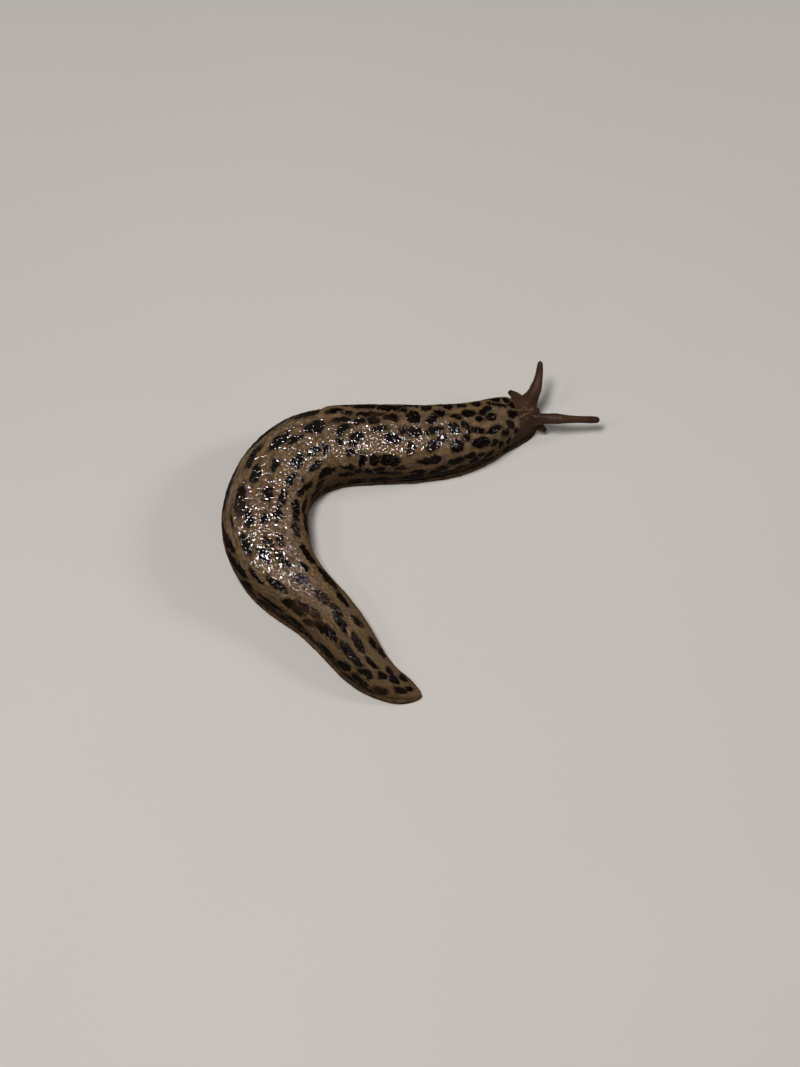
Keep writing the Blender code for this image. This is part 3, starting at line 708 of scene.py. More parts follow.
# %% Inside and outside the mantle
MANTLE_MIDDLE = 29.2
MANTLE_HALF_LENGTH = 21.8
MANTLE_REACH = 0.178
MANTLE_FRONT_POWER = 3.8
MANTLE_REAR_POWER = 2.6
MANTLE_RISE = 0.5
MANTLE_BED = 0.62
EDGE_GROOVE = 0.16
BED_START = 0.15
BED_SLOPE = 0.9


def mantle_share(s, u):
    """0 at the mantle's middle and 1 at its outline, by the superellipse's own formula."""
    forth = (s - MANTLE_MIDDLE) / MANTLE_HALF_LENGTH
    across = np.abs(u - 0.5) / MANTLE_REACH
    power = np.where(forth > 0, MANTLE_REAR_POWER, MANTLE_FRONT_POWER)
    return (np.abs(forth) ** power + across ** power) ** (1 / power)


def under_mantle(s, u):
    """How far the body dips under the mantle: a shallow groove along the outline, and the
    full bed a millimetre inside it."""
    inside = (1 - mantle_share(s, u)) * MANTLE_REACH * girth(s)
    return MANTLE_BED * rises(inside, BED_START, BED_SLOPE) + EDGE_GROOVE * bell(inside + 0.25, 0.45)


mantle_round = 2 * MANTLE_REACH * float(girth(MANTLE_MIDDLE))
print("mantle:", 2 * MANTLE_HALF_LENGTH, "mm long and", round(mantle_round, 1), "mm round")

# %% [markdown]
# ## The grid of the skin
# Rows of points go round the body and columns go along it. They are closer together at
# the head, where the tentacles grow, and on the fringe, and wide apart on the hidden
# sole. That keeps the piece under its limit of triangles with the faces where they show.

# %% Rows and columns
ROW_STEP = 0.35
HEAD_ROW_STEP = 0.165
HEAD_ROWS_END = 5.5
COLUMN_PLACES = [0, 0.1, 0.13, 0.15, 0.23, 0.26, 0.5]
COLUMN_STEPS = [1.5, 1.1, 0.4, 0.21, 0.22, 0.235, 0.235]


def spaced(places, run, step):
    """Places picked along a run so that each lies one local step from the last."""
    count = steps_so_far(run, step)
    return np.interp(np.linspace(0, count[-1], round(count[-1]) + 1), count, places)


def row_places():
    """Distances from the snout, each one step of the back's own curve from the last. The
    step is short on the head and grows to its full length behind it."""
    t = np.linspace(0, 1, 6001)
    s = SNOUT_START + (BODY_LENGTH - SNOUT_START) * (1 - np.cos(math.pi * t)) / 2
    run = running_length(body_point(s, 0.5))
    step = HEAD_ROW_STEP + (ROW_STEP - HEAD_ROW_STEP) * rises(s, HEAD_ROWS_END, 5)
    return spaced(s, run, step)[1:-1]


def column_places():
    """Shares of the way round, whose steps follow a table of spacings, mirrored."""
    u = np.linspace(0, 0.5, 4001)
    left = spaced(u, u, np.interp(u, COLUMN_PLACES, COLUMN_STEPS) / WIDEST_GIRTH)
    return np.concatenate([left, 1 - left[-2:0:-1]])


ROWS = row_places()
COLUMNS = column_places()
S, U = np.meshgrid(ROWS, COLUMNS, indexing="ij")
print("rows and columns:", S.shape, "points:", S.size)

# %% The grid raised by its relief
plain = body_point(S, U)
outward = skin_normal(S, U)
height, filled, band = relief(S, U, plain)
height = height - under_mantle(S, U)
skin = plain + outward * height[..., None]
skin[..., 2] = np.maximum(skin[..., 2], 0)
print("height of the skin:", skin[..., 2].max().round(2), "mm")

# %% [markdown]
# ## The tentacles
# The upper pair carries the eyes and the lower pair feels the ground. On the animal they
# are the same skin as the head, rolled out like the fingers of a glove. Tubes pushed into
# the head would leave a seam. So each tentacle starts from a hole in the grid: a collar
# leaves the hole's rim level with the skin and turns up into the tube, point for point.

# %% Middle lines and thicknesses
UPPER_LEFT = [(25.6, 30.4, 6.0), (27.0, 33.0, 8.4), (27.9, 35.7, 10.4), (28.2, 38.1, 11.8)]
UPPER_RIGHT = [(27.0, 28.2, 5.6), (31.0, 26.8, 7.2), (36.2, 26.8, 6.8), (40.8, 27.2, 5.9)]
LOWER_LEFT = [(25.8, 31.1, 3.0), (24.1, 33.9, 3.1), (21.9, 36.3, 2.5)]
LOWER_RIGHT = [(26.9, 28.1, 3.0), (28.4, 27.3, 2.6), (29.4, 26.8, 2.0)]
UPPER_LEFT_GIRTH = [(0, 2.6), (0.2, 2.1), (0.4, 1.5), (0.6, 1.06), (0.76, 0.84), (0.9, 0.76), (1, 0.58)]
UPPER_RIGHT_GIRTH = [(0, 2.1), (0.2, 1.7), (0.4, 1.12), (0.6, 0.84), (0.78, 0.76), (0.92, 0.84), (1, 0.66)]
LOWER_LEFT_GIRTH = [(0, 1.6), (0.3, 1.4), (0.6, 1.04), (0.84, 0.86), (1, 0.56)]
LOWER_RIGHT_GIRTH = [(0, 1.3), (0.45, 1.05), (0.75, 0.86), (1, 0.52)]
# Name, middle line, girth, hole's place, hole's half sizes, end of the collar, tip's length.
TENTACLES = [
    ("upper left", UPPER_LEFT, UPPER_LEFT_GIRTH, (3.5, 0.452), (2.1, 0.064), 0.46, 0.6),
    ("upper right", UPPER_RIGHT, UPPER_RIGHT_GIRTH, (3.05, 0.598), (1.75, 0.062), 0.37, 0.62),
    ("lower left", LOWER_LEFT, LOWER_LEFT_GIRTH, (3.8, 0.308), (1.35, 0.052), 0.5, 0.42),
    ("lower right", LOWER_RIGHT, LOWER_RIGHT_GIRTH, (2.5, 0.71), (1.05, 0.046), 0.5, 0.4)]
print("tentacles:", [row[0] for row in TENTACLES])

# %% A hole in the grid, and directions along a tube
ROWS_COUNT, COLUMNS_COUNT = S.shape


def grid_index(i, j):
    """Number of the point in row i and column j."""
    return i * COLUMNS_COUNT + j


def hole_rim(place, half):
    """The rectangle of grid points nearest to the hole's edges: its first and last row and
    column, and the ring of points on it, in order, with the outside on the right."""
    first_row, last_row = np.searchsorted(ROWS, [place[0] - half[0], place[0] + half[0]])
    first_column, last_column = np.searchsorted(COLUMNS, [place[1] - half[1], place[1] + half[1]])
    rows = np.arange(first_row, last_row)
    columns = np.arange(first_column, last_column)
    rim = np.concatenate([grid_index(rows, first_column), grid_index(last_row, columns),
                          grid_index(rows[::-1] + 1, last_column),
                          grid_index(first_row, columns[::-1] + 1)])
    return (first_row, last_row, first_column, last_column), rim


def tube_frame(path):
    """Two directions square to a line at each of its points, found from the axis that the
    line runs along least."""
    ahead = unit(np.gradient(path, axis=0))
    reference = np.eye(3)[np.argmin(np.abs(path[-1] - path[0]))]
    first = unit(np.cross(reference, ahead))
    return ahead, first, np.cross(ahead, first)


print("points round the first hole:", len(hole_rim(*TENTACLES[0][3:5])[1]))

# %% Thickness and creases of a tentacle
TUBE_POINTS = 400
TUBE_STEP = 0.17
SOFTENING = 61
RIPPLE_HEIGHT = 0.02
CREASE_HEIGHT = 0.022
CREASE_PITCH = 0.62


def soft_radius(girths):
    """Radius at each point of a tentacle's line: its table, softened by a moving average."""
    radius = np.interp(np.linspace(0, 1, TUBE_POINTS), *np.array(girths, float).T)
    padded = np.pad(radius, SOFTENING // 2, mode="edge")
    return np.convolve(padded, np.ones(SOFTENING) / SOFTENING, "valid")


def creased(rings, seed):
    """Rings pushed away from their middles by noise and by a cosine along the tentacle,
    which makes the fine creases round it."""
    rows = np.arange(len(rings))[:, None] * TUBE_STEP
    turns = (np.arange(rings.shape[1]) / rings.shape[1])[None, :]
    wobble = 0.5 * wander(rows * 0.8, turns * 5, 5, seed + 1)
    ripple = RIPPLE_HEIGHT * wander(rows * 1.6, turns * 12, 12, seed)
    ripple = ripple + CREASE_HEIGHT * np.cos(math.tau * (rows / CREASE_PITCH + wobble))
    return rings + unit(rings - rings.mean(axis=1, keepdims=True)) * ripple[..., None]


root_and_tip = soft_radius(UPPER_LEFT_GIRTH)[[0, -1]]
print("radius of the first tentacle at its root and tip:", root_and_tip.round(2), "mm")

# %% Rings from a hole's rim to a tentacle's tip
COLLAR_RINGS = 14
PULL_FROM_RIM = 0.75
PULL_TO_TUBE = 1.1
TIP_RINGS = 9


def hermite(t, start, leaving, arriving, end):
    """The cubic from start to end that leaves along one pull and arrives along the other."""
    return ((2 * t ** 3 - 3 * t ** 2 + 1) * start + (t ** 3 - 2 * t ** 2 + t) * leaving
            + (t ** 3 - t ** 2) * arriving + (3 * t ** 2 - 2 * t ** 3) * end)


def collar_and_tube(route, girths, rim, rim_normal, collar_end, tip_length, seed):
    """Rings of points from a hole's rim to a tentacle's tip. The collar is a cubic from
    each rim point, which starts in the skin and ends along the tentacle. The tube is
    circles of the softened radius, and the tip is half an ellipsoid."""
    path = smooth_path(route, TUBE_POINTS)
    ahead, first, second = tube_frame(path)
    radius = soft_radius(girths)
    start = round(collar_end * (TUBE_POINTS - 1))
    away = rim - path[start]
    natural = np.unwrap(np.arctan2(away @ second[start], away @ first[start]))
    turn = math.tau * np.arange(len(rim)) / len(rim)
    angle = (turn + np.mean(natural - turn))[:, None]

    def circles(at, size, shift=0.0):
        spokes = np.cos(angle) * first[at][:, None] + np.sin(angle) * second[at][:, None]
        return (path[at] + ahead[at] * shift)[:, None] + spokes * size[:, None, None]
    inward = rim.mean(axis=0) - rim
    inward = unit(inward - (inward * rim_normal).sum(axis=1, keepdims=True) * rim_normal)
    goal = circles(np.array([start]), radius[[start]])[0]
    pull = np.linalg.norm(goal - rim, axis=1, keepdims=True)
    along = np.arange(1, COLLAR_RINGS + 1) / COLLAR_RINGS
    collar = hermite(along[:, None, None], rim, PULL_FROM_RIM * pull * inward,
                     PULL_TO_TUBE * pull * ahead[start], goal)
    steps = round(running_length(path)[-1] * (1 - collar_end) / TUBE_STEP)
    at = np.round(np.linspace(start, TUBE_POINTS - 1, steps + 1)[1:]).astype(int)
    lean = np.linspace(0, math.pi / 2, TIP_RINGS + 1)[1:-1]
    dome = circles(np.full(len(lean), -1), radius[-1] * np.cos(lean), tip_length * np.sin(lean)[:, None])
    rings = np.concatenate([collar, circles(at, radius[at]), dome])
    reach = np.concatenate([collar_end * along, at / (TUBE_POINTS - 1), np.ones(len(lean))])
    return creased(rings, seed), reach, path[-1] + ahead[-1] * tip_length, ahead[-1]


print("halfway along, the collar's cubic from 0 to 1 is at", hermite(0.5, 0, 0, 0, 1))

# %% [markdown]
# ## One mesh from grid, collars and tubes
# All points go in one list and every face is a set of numbers in it, so the tentacles
# share the head's own points. Both ends of the body close in one point. At last the skin
# round each root is relaxed: every point moves part of the way to its neighbours' mean,
# as clay is smoothed with a thumb.

# %% Faces between rings, and relaxing
def ring_faces(lower, upper):
    """Four-cornered faces between two rings with the same number of points."""
    return np.stack([lower, np.roll(lower, -1), np.roll(upper, -1), upper], axis=1)


def fan_faces(ring, pole):
    """Triangles from a ring to one point."""
    return np.stack([ring, np.roll(ring, -1), np.full(len(ring), pole)], axis=1)


def stacked_rings(rim, first, count):
    """Faces from a rim up through rings, whose points are numbered on from a first one, and
    the numbers of the last ring."""
    loops = [rim, *(first + np.arange(count * len(rim)).reshape(count, len(rim)))]
    return np.concatenate([ring_faces(a, b) for a, b in zip(loops, loops[1:])]), loops[-1]


def relax(points, quads, weight, rounds):
    """Move points towards the mean of their neighbours by their own weight, some rounds."""
    edges = np.concatenate([quads[:, [a, (a + 1) % 4]] for a in range(4)])
    edges = np.unique(np.sort(edges, axis=1), axis=0)
    busy = (weight[edges[:, 0]] > 0.001) | (weight[edges[:, 1]] > 0.001)
    edges = edges[busy]
    ends = np.concatenate([edges, edges[:, ::-1]])
    neighbours = np.bincount(ends[:, 0], minlength=len(points))
    for _ in range(rounds):
        total = np.stack([np.bincount(ends[:, 0], points[ends[:, 1], axis], len(points))
                          for axis in range(3)], axis=1)
        mean = total / np.maximum(neighbours, 1)[:, None]
        points = points + weight[:, None] * (mean - points) * (neighbours > 0)[:, None]
    return points


print("faces of a ring with eight points:", len(ring_faces(np.arange(8), np.arange(8, 16))))

# %% Join everything
TENTACLE_SEED = 41

row, column = np.meshgrid(np.arange(ROWS_COUNT - 1), np.arange(COLUMNS_COUNT), indexing="ij")
following = (column + 1) % COLUMNS_COUNT
grid_quads = np.stack([grid_index(row, column), grid_index(row + 1, column),
                       grid_index(row + 1, following), grid_index(row, following)], axis=-1)
kept = np.ones(row.shape, bool)
flat_skin = skin.reshape(-1, 3)
flat_outward = outward.reshape(-1, 3)
points = [flat_skin]
quads = []
triangles = []
reaches = [np.zeros(S.size)]
rims = []
tips = {}
total = S.size
for number, (name, route, girths, place, half, collar_end, tip_length) in enumerate(TENTACLES):
    (r0, r1, c0, c1), rim = hole_rim(place, half)
    kept[r0:r1, c0:c1] = False
    rims.append(rim)
    rings, reach, tip, ahead = collar_and_tube(route, girths, flat_skin[rim], flat_outward[rim],
                                               collar_end, tip_length, TENTACLE_SEED + 2 * number)
    tube_quads, tip_ring = stacked_rings(rim, total, len(rings))
    total += len(rings) * len(rim)
    quads.append(tube_quads)
    triangles.append(fan_faces(tip_ring, total))
    points += [rings.reshape(-1, 3), tip[None, :]]
    reaches += [np.repeat(reach, len(rim)), [1.0]]
    total += 1
    tips[name] = (tip, ahead)
    print(name, "tentacle:", len(rim), "sides,", len(rings), "rings")

# %% Close both ends
snout_tip = body_point(SNOUT_START, 0.5)
snout_pole = snout_tip + SNOUT_AHEAD * face(*from_snout(snout_tip))[0]
tail_pole = body_point(BODY_LENGTH, 0.5)
points += [snout_pole[None, :], tail_pole[None, :]]
reaches += [[0.0], [0.0]]
first_ring = grid_index(0, np.arange(COLUMNS_COUNT))
last_ring = grid_index(ROWS_COUNT - 1, np.arange(COLUMNS_COUNT))
triangles += [fan_faces(first_ring, total), fan_faces(last_ring[::-1], total + 1)]
points = np.concatenate(points)
quads = np.concatenate([grid_quads[kept]] + quads)
triangles = np.concatenate(triangles)
reaches = np.concatenate(reaches)
print("points:", len(points), "quads:", len(quads), "triangles:", len(triangles))

# %% Smooth the roots of the tentacles
ROOT_REACH = 0.75
ROOT_LIMIT = 2.2
ROOT_SHARE = 0.6
ROOT_ROUNDS = 14
FAR_FROM_ROOTS = 12.0

near = np.linalg.norm(points - points[rims[0]].mean(axis=0), axis=1) < FAR_FROM_ROOTS
nearest_rim = np.full(len(points), FAR_FROM_ROOTS)
for rim in rims:
    distance = np.linalg.norm(points[near][:, None, :] - points[rim][None, :, :], axis=2).min(axis=1)
    nearest_rim[near] = np.minimum(nearest_rim[near], distance)
root_weight = ROOT_SHARE * bell(nearest_rim, ROOT_REACH) * (nearest_rim < ROOT_LIMIT)
points = relax(points, quads, root_weight, ROOT_ROUNDS)
print("points moved by the smoothing:", int((root_weight > 0.001).sum()))

# %% [markdown]
# ## Marks that the finish reads
# The mesh carries a few numbers at each point: how deep in a spot it is, how far the
# wrinkles fill it, how much it belongs to the head, the fringe, the sole, the low flank,
# the tail and the pale lines, and how thick the slime lies on it. The shader mixes its
# colours and its gloss by them, so both follow the body and not the picture's frame.
# Where the wrinkles leave a hollow it paints shade, and on the low flank it paints the
# flank's browner tone together with shade.

# %% Where the slime lies thick
# Distance from the snout, the band's middle as a share of the way round, its half width.
WET_BAND = [(6, 0.49, -0.01), (9, 0.485, 0.02), (13, 0.485, 0.02), (16, 0.49, -0.02), (19, 0.52, -0.01),
            (23, 0.535, 0.045), (40, 0.54, 0.06), (52, 0.515, 0.075), (62, 0.485, 0.095),
            (80, 0.485, 0.095), (92, 0.495, 0.055), (102, 0.5, 0.0), (110, 0.5, -0.04), (129, 0.5, -0.04)]
WET_EDGE = 0.035
WET_FRAY = 0.018


def wetness(s, u):
    """1 in a band along the back, easing to 0 on its two sides, and less in front and on
    the tail. The band's middle and its width run from each row of the table to the next,
    and noise frays its edges."""
    places, middles, widths = np.array(WET_BAND).T
    inside = np.interp(s, places, widths) - np.abs(u - np.interp(s, places, middles))
    frayed = inside + swells(s, u, (WET_FRAY, 2.2, 20, 71))
    behind_front = 0.45 + 0.55 * rises(s, 14, 8)
    return ease(0.5 + frayed / (2 * WET_EDGE)) * behind_front * (1 - 0.5 * rises(s, 90, 12))


wet = wetness(S, U)
print("share of the skin's points that are wet:", round(float((wet > 0.5).mean()), 2))

# %% Numbers for each point
INSIDE_TUBES = 0.85


def lowness(u):
    """1 on the low flanks, easing to 0 towards the back."""
    return falls(from_sole(u), 0.28, 0.14)


def grown(values, fill):
    """Values of the grid, followed by one value for every point of the tentacles and ends."""
    return np.concatenate([values.ravel(), np.full(len(points) - S.size, fill)])


up = plain[..., 2]
head = falls(S - 4.5 * ease((0.42 - from_sole(U)) / 0.16), 6.0, 2.6)
keel_line = 0.7 * bell(U - 0.5, 0.012) * rises(S, 99, 6) * falls(S, 118, 5)
marks = {
    "spot": grown(spot_depth(S, U), FAR_OUTSIDE),
    "filled": grown(filled, INSIDE_TUBES),
    "head": grown(head, 1.0),
    "fringe": grown(band, 0.0),
    "sole": grown(falls(up, 0.02, 0.16), 0.0),
    "pale": grown(keel_line + 0.5 * neck_lines(S, U), 0.0),
    "low": grown(lowness(U), 0.0),
    "tail": grown(rises(S, 92, 24), 0.0),
    "wet": grown(wet * rises(S, 5, 4), 0.0),
    "reach": reaches,
}
print("marks:", ", ".join(marks))


# %% From arrays to a mesh object
def make_object(name, points, quads, triangles, uv, marks):
    """A mesh object in the scene from arrays in millimetres, with its map and its marks.
    Points that no face uses are left out."""
    corners = np.concatenate([quads.ravel(), triangles.ravel()])
    used, corners = np.unique(corners, return_inverse=True)
    corners = corners.ravel()
    four = corners[:quads.size].reshape(-1, 4)
    three = corners[quads.size:].reshape(-1, 3)
    mesh = bpy.data.meshes.new(name)
    mesh.from_pydata((points[used] * MM).tolist(), [], four.tolist() + three.tolist())
    mesh.update()
    layer = mesh.uv_layers.new(name="skin_map")
    layer.data.foreach_set("uv", uv[used][corners].astype(np.float32).ravel())
    for key, values in marks.items():
        attribute = mesh.attributes.new(key, "FLOAT", "POINT")
        attribute.data.foreach_set("value", values[used].astype(np.float32))
    mesh.shade_smooth()
    thing = bpy.data.objects.new(name, mesh)
    bpy.context.scene.collection.objects.link(thing)
    return thing


skin_uv = np.zeros((len(points), 2))
skin_uv[:S.size, 0] = S.ravel() / BODY_LENGTH
skin_uv[:S.size, 1] = U.ravel()
slug_skin = make_object("slug_skin", points, quads, triangles, skin_uv, marks)
print("skin:", len(slug_skin.data.vertices), "points,", 2 * len(quads) + len(triangles), "triangles")

# %% [markdown]
# ## The mantle
# A thin free-edged shield with very fine ridges, which curve round a point near its rear
# as a fingerprint's do. Its top is a square grid bent to the superellipse, which keeps
# all its faces alike, where a round grid would crowd them in the middle. From the last
# row the edge rolls over and comes back underneath, so the shell is closed.

# %% A square bent to the mantle's outline
MANTLE_ALONG = 330
MANTLE_ACROSS = 142


def square_to_outline(p, q):
    """A square bent to a disc (each side bulges by the other's half square), then to the
    superellipse by stretching each ray to that outline."""
    x = p * np.sqrt(1 - q * q / 2)
    y = q * np.sqrt(1 - p * p / 2)
    size = np.hypot(x, y)
    safe = np.maximum(size, 1e-9)
    cosine = np.abs(x / safe)
    sine = np.abs(y / safe)
    power = np.where(x > 0, MANTLE_REAR_POWER, MANTLE_FRONT_POWER)
    stretch = 1 / (cosine ** power + sine ** power) ** (1 / power)
    return x * stretch, y * stretch


corner_s, corner_u = square_to_outline(np.ones(1), np.ones(1))
print("the square's corner, as shares of the half sizes:", corner_s.round(2), corner_u.round(2))

# %% The ridges and the breathing hole
RIDGE_PITCH = 0.6
RIDGE_HEIGHT = 0.085
RIDGE_CENTRE = (35.0, 0.52)
RIDGE_SQUEEZE = 0.5
PEBBLE_SHARE = 0.45
BREATHING_HOLE = (42.7, 0.61)
HOLE_LIPS = 0.14
HOLE_DEPTH = 0.62
EDGE_RISE = 0.4
EDGE_CREASE = 0.07
HOOD_RISE = 0.22
HOOD_PLACE = 12.5


def breathing_hole(s, u):
    """The closed pore as a height: an upright slit drawn in between two low lips."""
    along = s - BREATHING_HOLE[0]
    around = (u - BREATHING_HOLE[1]) * girth(s)
    slit = bell(along - 0.12 * np.sin(around * 1.5), 0.36) * bell(around, 1.25)
    lips = bell(np.hypot(along, around * 0.62) - 0.75, 0.35)
    return HOLE_LIPS * lips - HOLE_DEPTH * slit


def mantle_top(s, u):
    """Height over the plain body: a low swell, falling to the edge, with the ridges on it
    broken by noise, and the breathing hole. Also how full the ridges are, 0 to 1."""
    share = mantle_share(s, u)
    across = (u - RIDGE_CENTRE[1]) * girth(s)
    away = np.hypot((s - RIDGE_CENTRE[0]) * RIDGE_SQUEEZE, across)
    away = away + swells(s, u, (0.8, 2.9, 22, 51), (0.36, 1.3, 42, 52))
    breaks = ease(0.6 + swells(s, u, (1.1, 0.8, 64, 53)))
    pebble = rounded(pebbles(s / 1.15 + 3, u * 80, 80, 56), 0.5)
    pattern = (1 - PEBBLE_SHARE) * waves(away / RIDGE_PITCH) + PEBBLE_SHARE * pebble
    ridge = (0.15 + 0.85 * breaks) * pattern
    swell = swells(s, u, (0.11, 4.5, 11, 54), (0.05, 2, 24, 55))
    dome = (MANTLE_RISE - EDGE_RISE + HOOD_RISE * bell(s - HOOD_PLACE, 4.5)) * (1 - share ** 7)
    height = EDGE_RISE + dome + (RIDGE_HEIGHT * ridge + swell) * falls(share, 0.93, 0.07)
    hole = breathing_hole(s, u)
    # Less filled means painted shade between the ridges and in the breathing hole; its lips get less of
    # it.
    filled = np.clip(0.45 + 0.55 * ridge + 1.6 * hole, 0, 1)
    return height + hole - EDGE_CREASE * bell(share - 0.95, 0.014), filled


hole_height = breathing_hole(*np.array(BREATHING_HOLE)[:, None])[0]
print("depth of the breathing hole:", round(float(-hole_height), 2), "mm")

# %% Grid of the mantle
P, Q = np.meshgrid(np.linspace(-1, 1, MANTLE_ALONG), np.linspace(-1, 1, MANTLE_ACROSS), indexing="ij")
forth, across = square_to_outline(P, Q)
mantle_s = MANTLE_MIDDLE + MANTLE_HALF_LENGTH * forth
mantle_u = 0.5 + MANTLE_REACH * across
mantle_height, mantle_filled = mantle_top(mantle_s, mantle_u)
mantle_out = skin_normal(mantle_s, mantle_u)
mantle_skin = body_point(mantle_s, mantle_u) + mantle_out * mantle_height[..., None]
number = np.arange(P.size).reshape(P.shape)
top_quads = np.stack([number[:-1, :-1], number[1:, :-1], number[1:, 1:], number[:-1, 1:]], axis=-1)
border = np.concatenate([number[:-1, 0], number[-1, :-1], number[:0:-1, -1], number[0, :0:-1]])
print("mantle grid:", P.shape, "edge points:", len(border))

# %% Roll the edge over and close the shell
EDGE_BULGE = 0.3
EDGE_TURNS = 7
EDGE_SINK = 0.1
UNDER_SHARES = (0.985, 0.96, 0.9, 0.75, 0.5, 0.25)
UNDER_DEPTH = 0.34

edge_s = mantle_s.ravel()[border]
edge_u = mantle_u.ravel()[border]
edge_base = body_point(edge_s, edge_u)
edge_out = skin_normal(edge_s, edge_u)
edge_height = mantle_height.ravel()[border][:, None]
tangent = unit(np.roll(edge_base, -1, axis=0) - np.roll(edge_base, 1, axis=0))
away = unit(np.cross(tangent, edge_out))
turn = np.linspace(0, math.pi / 2, EDGE_TURNS + 1)[1:, None, None]
lift = (edge_height + EDGE_SINK) * np.cos(turn) - EDGE_SINK
rolled = edge_base + edge_out * lift + away * EDGE_BULGE * np.sin(2 * turn) ** 0.8

share = np.array(UNDER_SHARES)[:, None]
under_s = MANTLE_MIDDLE + (edge_s - MANTLE_MIDDLE) * share
under_u = 0.5 + (edge_u - 0.5) * share
sinking = ease((1 - share) / 0.09)[..., None]
depth = UNDER_DEPTH * sinking + EDGE_SINK * (1 - sinking)
under = body_point(under_s, under_u) - skin_normal(under_s, under_u) * depth
pole = body_point(MANTLE_MIDDLE, 0.5) - skin_normal(MANTLE_MIDDLE, 0.5) * UNDER_DEPTH
rings = np.concatenate([rolled, under])
print("rings of the edge and the underside:", len(rings))

# %% The mantle's mesh
# The rolled edge and the underside are filled less, so the finish paints shade under the mantle.
UNDER_FILLED = 0.7

mantle_points = np.concatenate([mantle_skin.reshape(-1, 3), rings.reshape(-1, 3), pole[None, :]])
shell_quads, last_ring = stacked_rings(border, P.size, len(rings))
mantle_quads = np.concatenate([top_quads.reshape(-1, 4), shell_quads])
mantle_triangles = fan_faces(last_ring, len(mantle_points) - 1)
map_s = np.concatenate([mantle_s.ravel(), np.tile(edge_s, EDGE_TURNS), under_s.ravel(), [MANTLE_MIDDLE]])
map_u = np.concatenate([mantle_u.ravel(), np.tile(edge_u, EDGE_TURNS), under_u.ravel(), [0.5]])
mantle_marks = {
    "spot": spot_depth(map_s, map_u),
    "filled": np.concatenate([mantle_filled.ravel(), np.full(len(map_s) - P.size, UNDER_FILLED)]),
    "head": 0.6 * falls(map_s, 7.6, 1.2),
    "pale": 0.3 * rises(mantle_share(map_s, map_u), 0.95, 0.04),
    "low": lowness(map_u),
    "wet": wetness(map_s, map_u),
    **{name: np.zeros(len(map_s)) for name in ("fringe", "sole", "tail", "reach")},
}
mantle_uv = np.column_stack([map_s / BODY_LENGTH, map_u])
slug_mantle = make_object("slug_mantle", mantle_points, mantle_quads, mantle_triangles,
                          mantle_uv, mantle_marks)
print("mantle:", len(mantle_points), "points,", 2 * len(mantle_quads) + len(mantle_triangles), "triangles")

# %% [markdown]
# ## The eyes
# Each eye is a glossy black bead at the tip of an upper tentacle, sunk so far that only
# its front shows. Glass beads are what a model maker would use. A sphere from rings of
# latitude and longitude is enough at this size.

# %% Two glass beads
EYE_RADIUS = 0.4
EYE_PROUD = 0.1
EYE_ROWS = 17
EYE_SIDES = 32


def bead(name, tip, ahead):
    """A sphere: rings whose radius is the sine of the angle from its front, each as far
    ahead as the cosine, closed by one point at each end."""
    centre = tip + ahead * (EYE_PROUD - EYE_RADIUS)
    first = unit(np.cross(ahead, (0.3, 0.1, 1.0)))
    second = np.cross(ahead, first)
    lean = np.linspace(0, math.pi, EYE_ROWS + 2)[1:-1, None]
    turn = math.tau * np.arange(EYE_SIDES)[None, :] / EYE_SIDES
    spoke = np.cos(turn)[..., None] * first + np.sin(turn)[..., None] * second
    rings = centre + EYE_RADIUS * (np.sin(lean)[..., None] * spoke + np.cos(lean)[..., None] * ahead)
    loops = np.arange(EYE_ROWS * EYE_SIDES).reshape(EYE_ROWS, EYE_SIDES)
    front = loops.size
    poles = [centre + ahead * EYE_RADIUS, centre - ahead * EYE_RADIUS]
    points = np.concatenate([rings.reshape(-1, 3), poles])
    quads = np.concatenate([ring_faces(b, a) for a, b in zip(loops, loops[1:])])
    triangles = np.concatenate([fan_faces(loops[0], front), fan_faces(loops[-1][::-1], front + 1)])
    return make_object(name, points, quads, triangles, np.zeros((len(points), 2)), {})


eyes = [bead("slug_eye_" + side, *tips["upper " + side]) for side in ("left", "right")]
print("eyes:", [eye.name for eye in eyes])

# %% [markdown]
# ## Nodes in few words
# Every finish is a small net of nodes. These helpers add a node, feed its sockets with
# values or with another node's output, and hand back the output, so that a finish reads
# from top to bottom as a recipe.

# %% Colours, sockets and nodes
def paint(red, green, blue):
    """A screen colour, 0 to 255, as the linear colour that a shader takes."""
    channels = np.array([red, green, blue]) / 255
    low = channels / 12.92
    high = ((channels + 0.055) / 1.055) ** 2.4
    return (*np.where(channels <= 0.04045, low, high).tolist(), 1.0)


def feed(tree, node, sockets):
    """Link outputs to a node's sockets, or set the sockets' own values."""
    for key, value in sockets.items():
        if isinstance(value, bpy.types.NodeSocket):
            tree.links.new(value, node.inputs[key])
        else:
            node.inputs[key].default_value = value


def add(tree, kind, output, sockets, **settings):
    """Add a node with its settings and sockets, and return one of its outputs."""
    node = tree.nodes.new(kind)
    for key, value in settings.items():
        setattr(node, key, value)
    feed(tree, node, sockets)
    return node.outputs[output]


def start_finish(name):
    """A new material, its node tree and its Principled shader."""
    material = bpy.data.materials.new(name)
    material.use_nodes = True
    return material, material.node_tree, material.node_tree.nodes["Principled BSDF"]


print("half grey as a linear colour:", round(paint(128, 128, 128)[0], 3))


# %% Patterns to read
def mark(tree, name):
    """A number that the mesh carries at its points."""
    return add(tree, "ShaderNodeAttribute", "Fac", {}, attribute_name=name)


def noise(tree, where, scale, detail=2.0, roughness=0.5):
    """Cloudy noise, about 0.5 in the middle."""
    return add(tree, "ShaderNodeTexNoise", "Fac",
               {"Vector": where, "Scale": scale, "Detail": detail, "Roughness": roughness})


def stretched(tree, where, scale):
    """Coordinates multiplied along each axis."""
    return add(tree, "ShaderNodeMapping", "Vector", {"Vector": where, "Scale": scale})


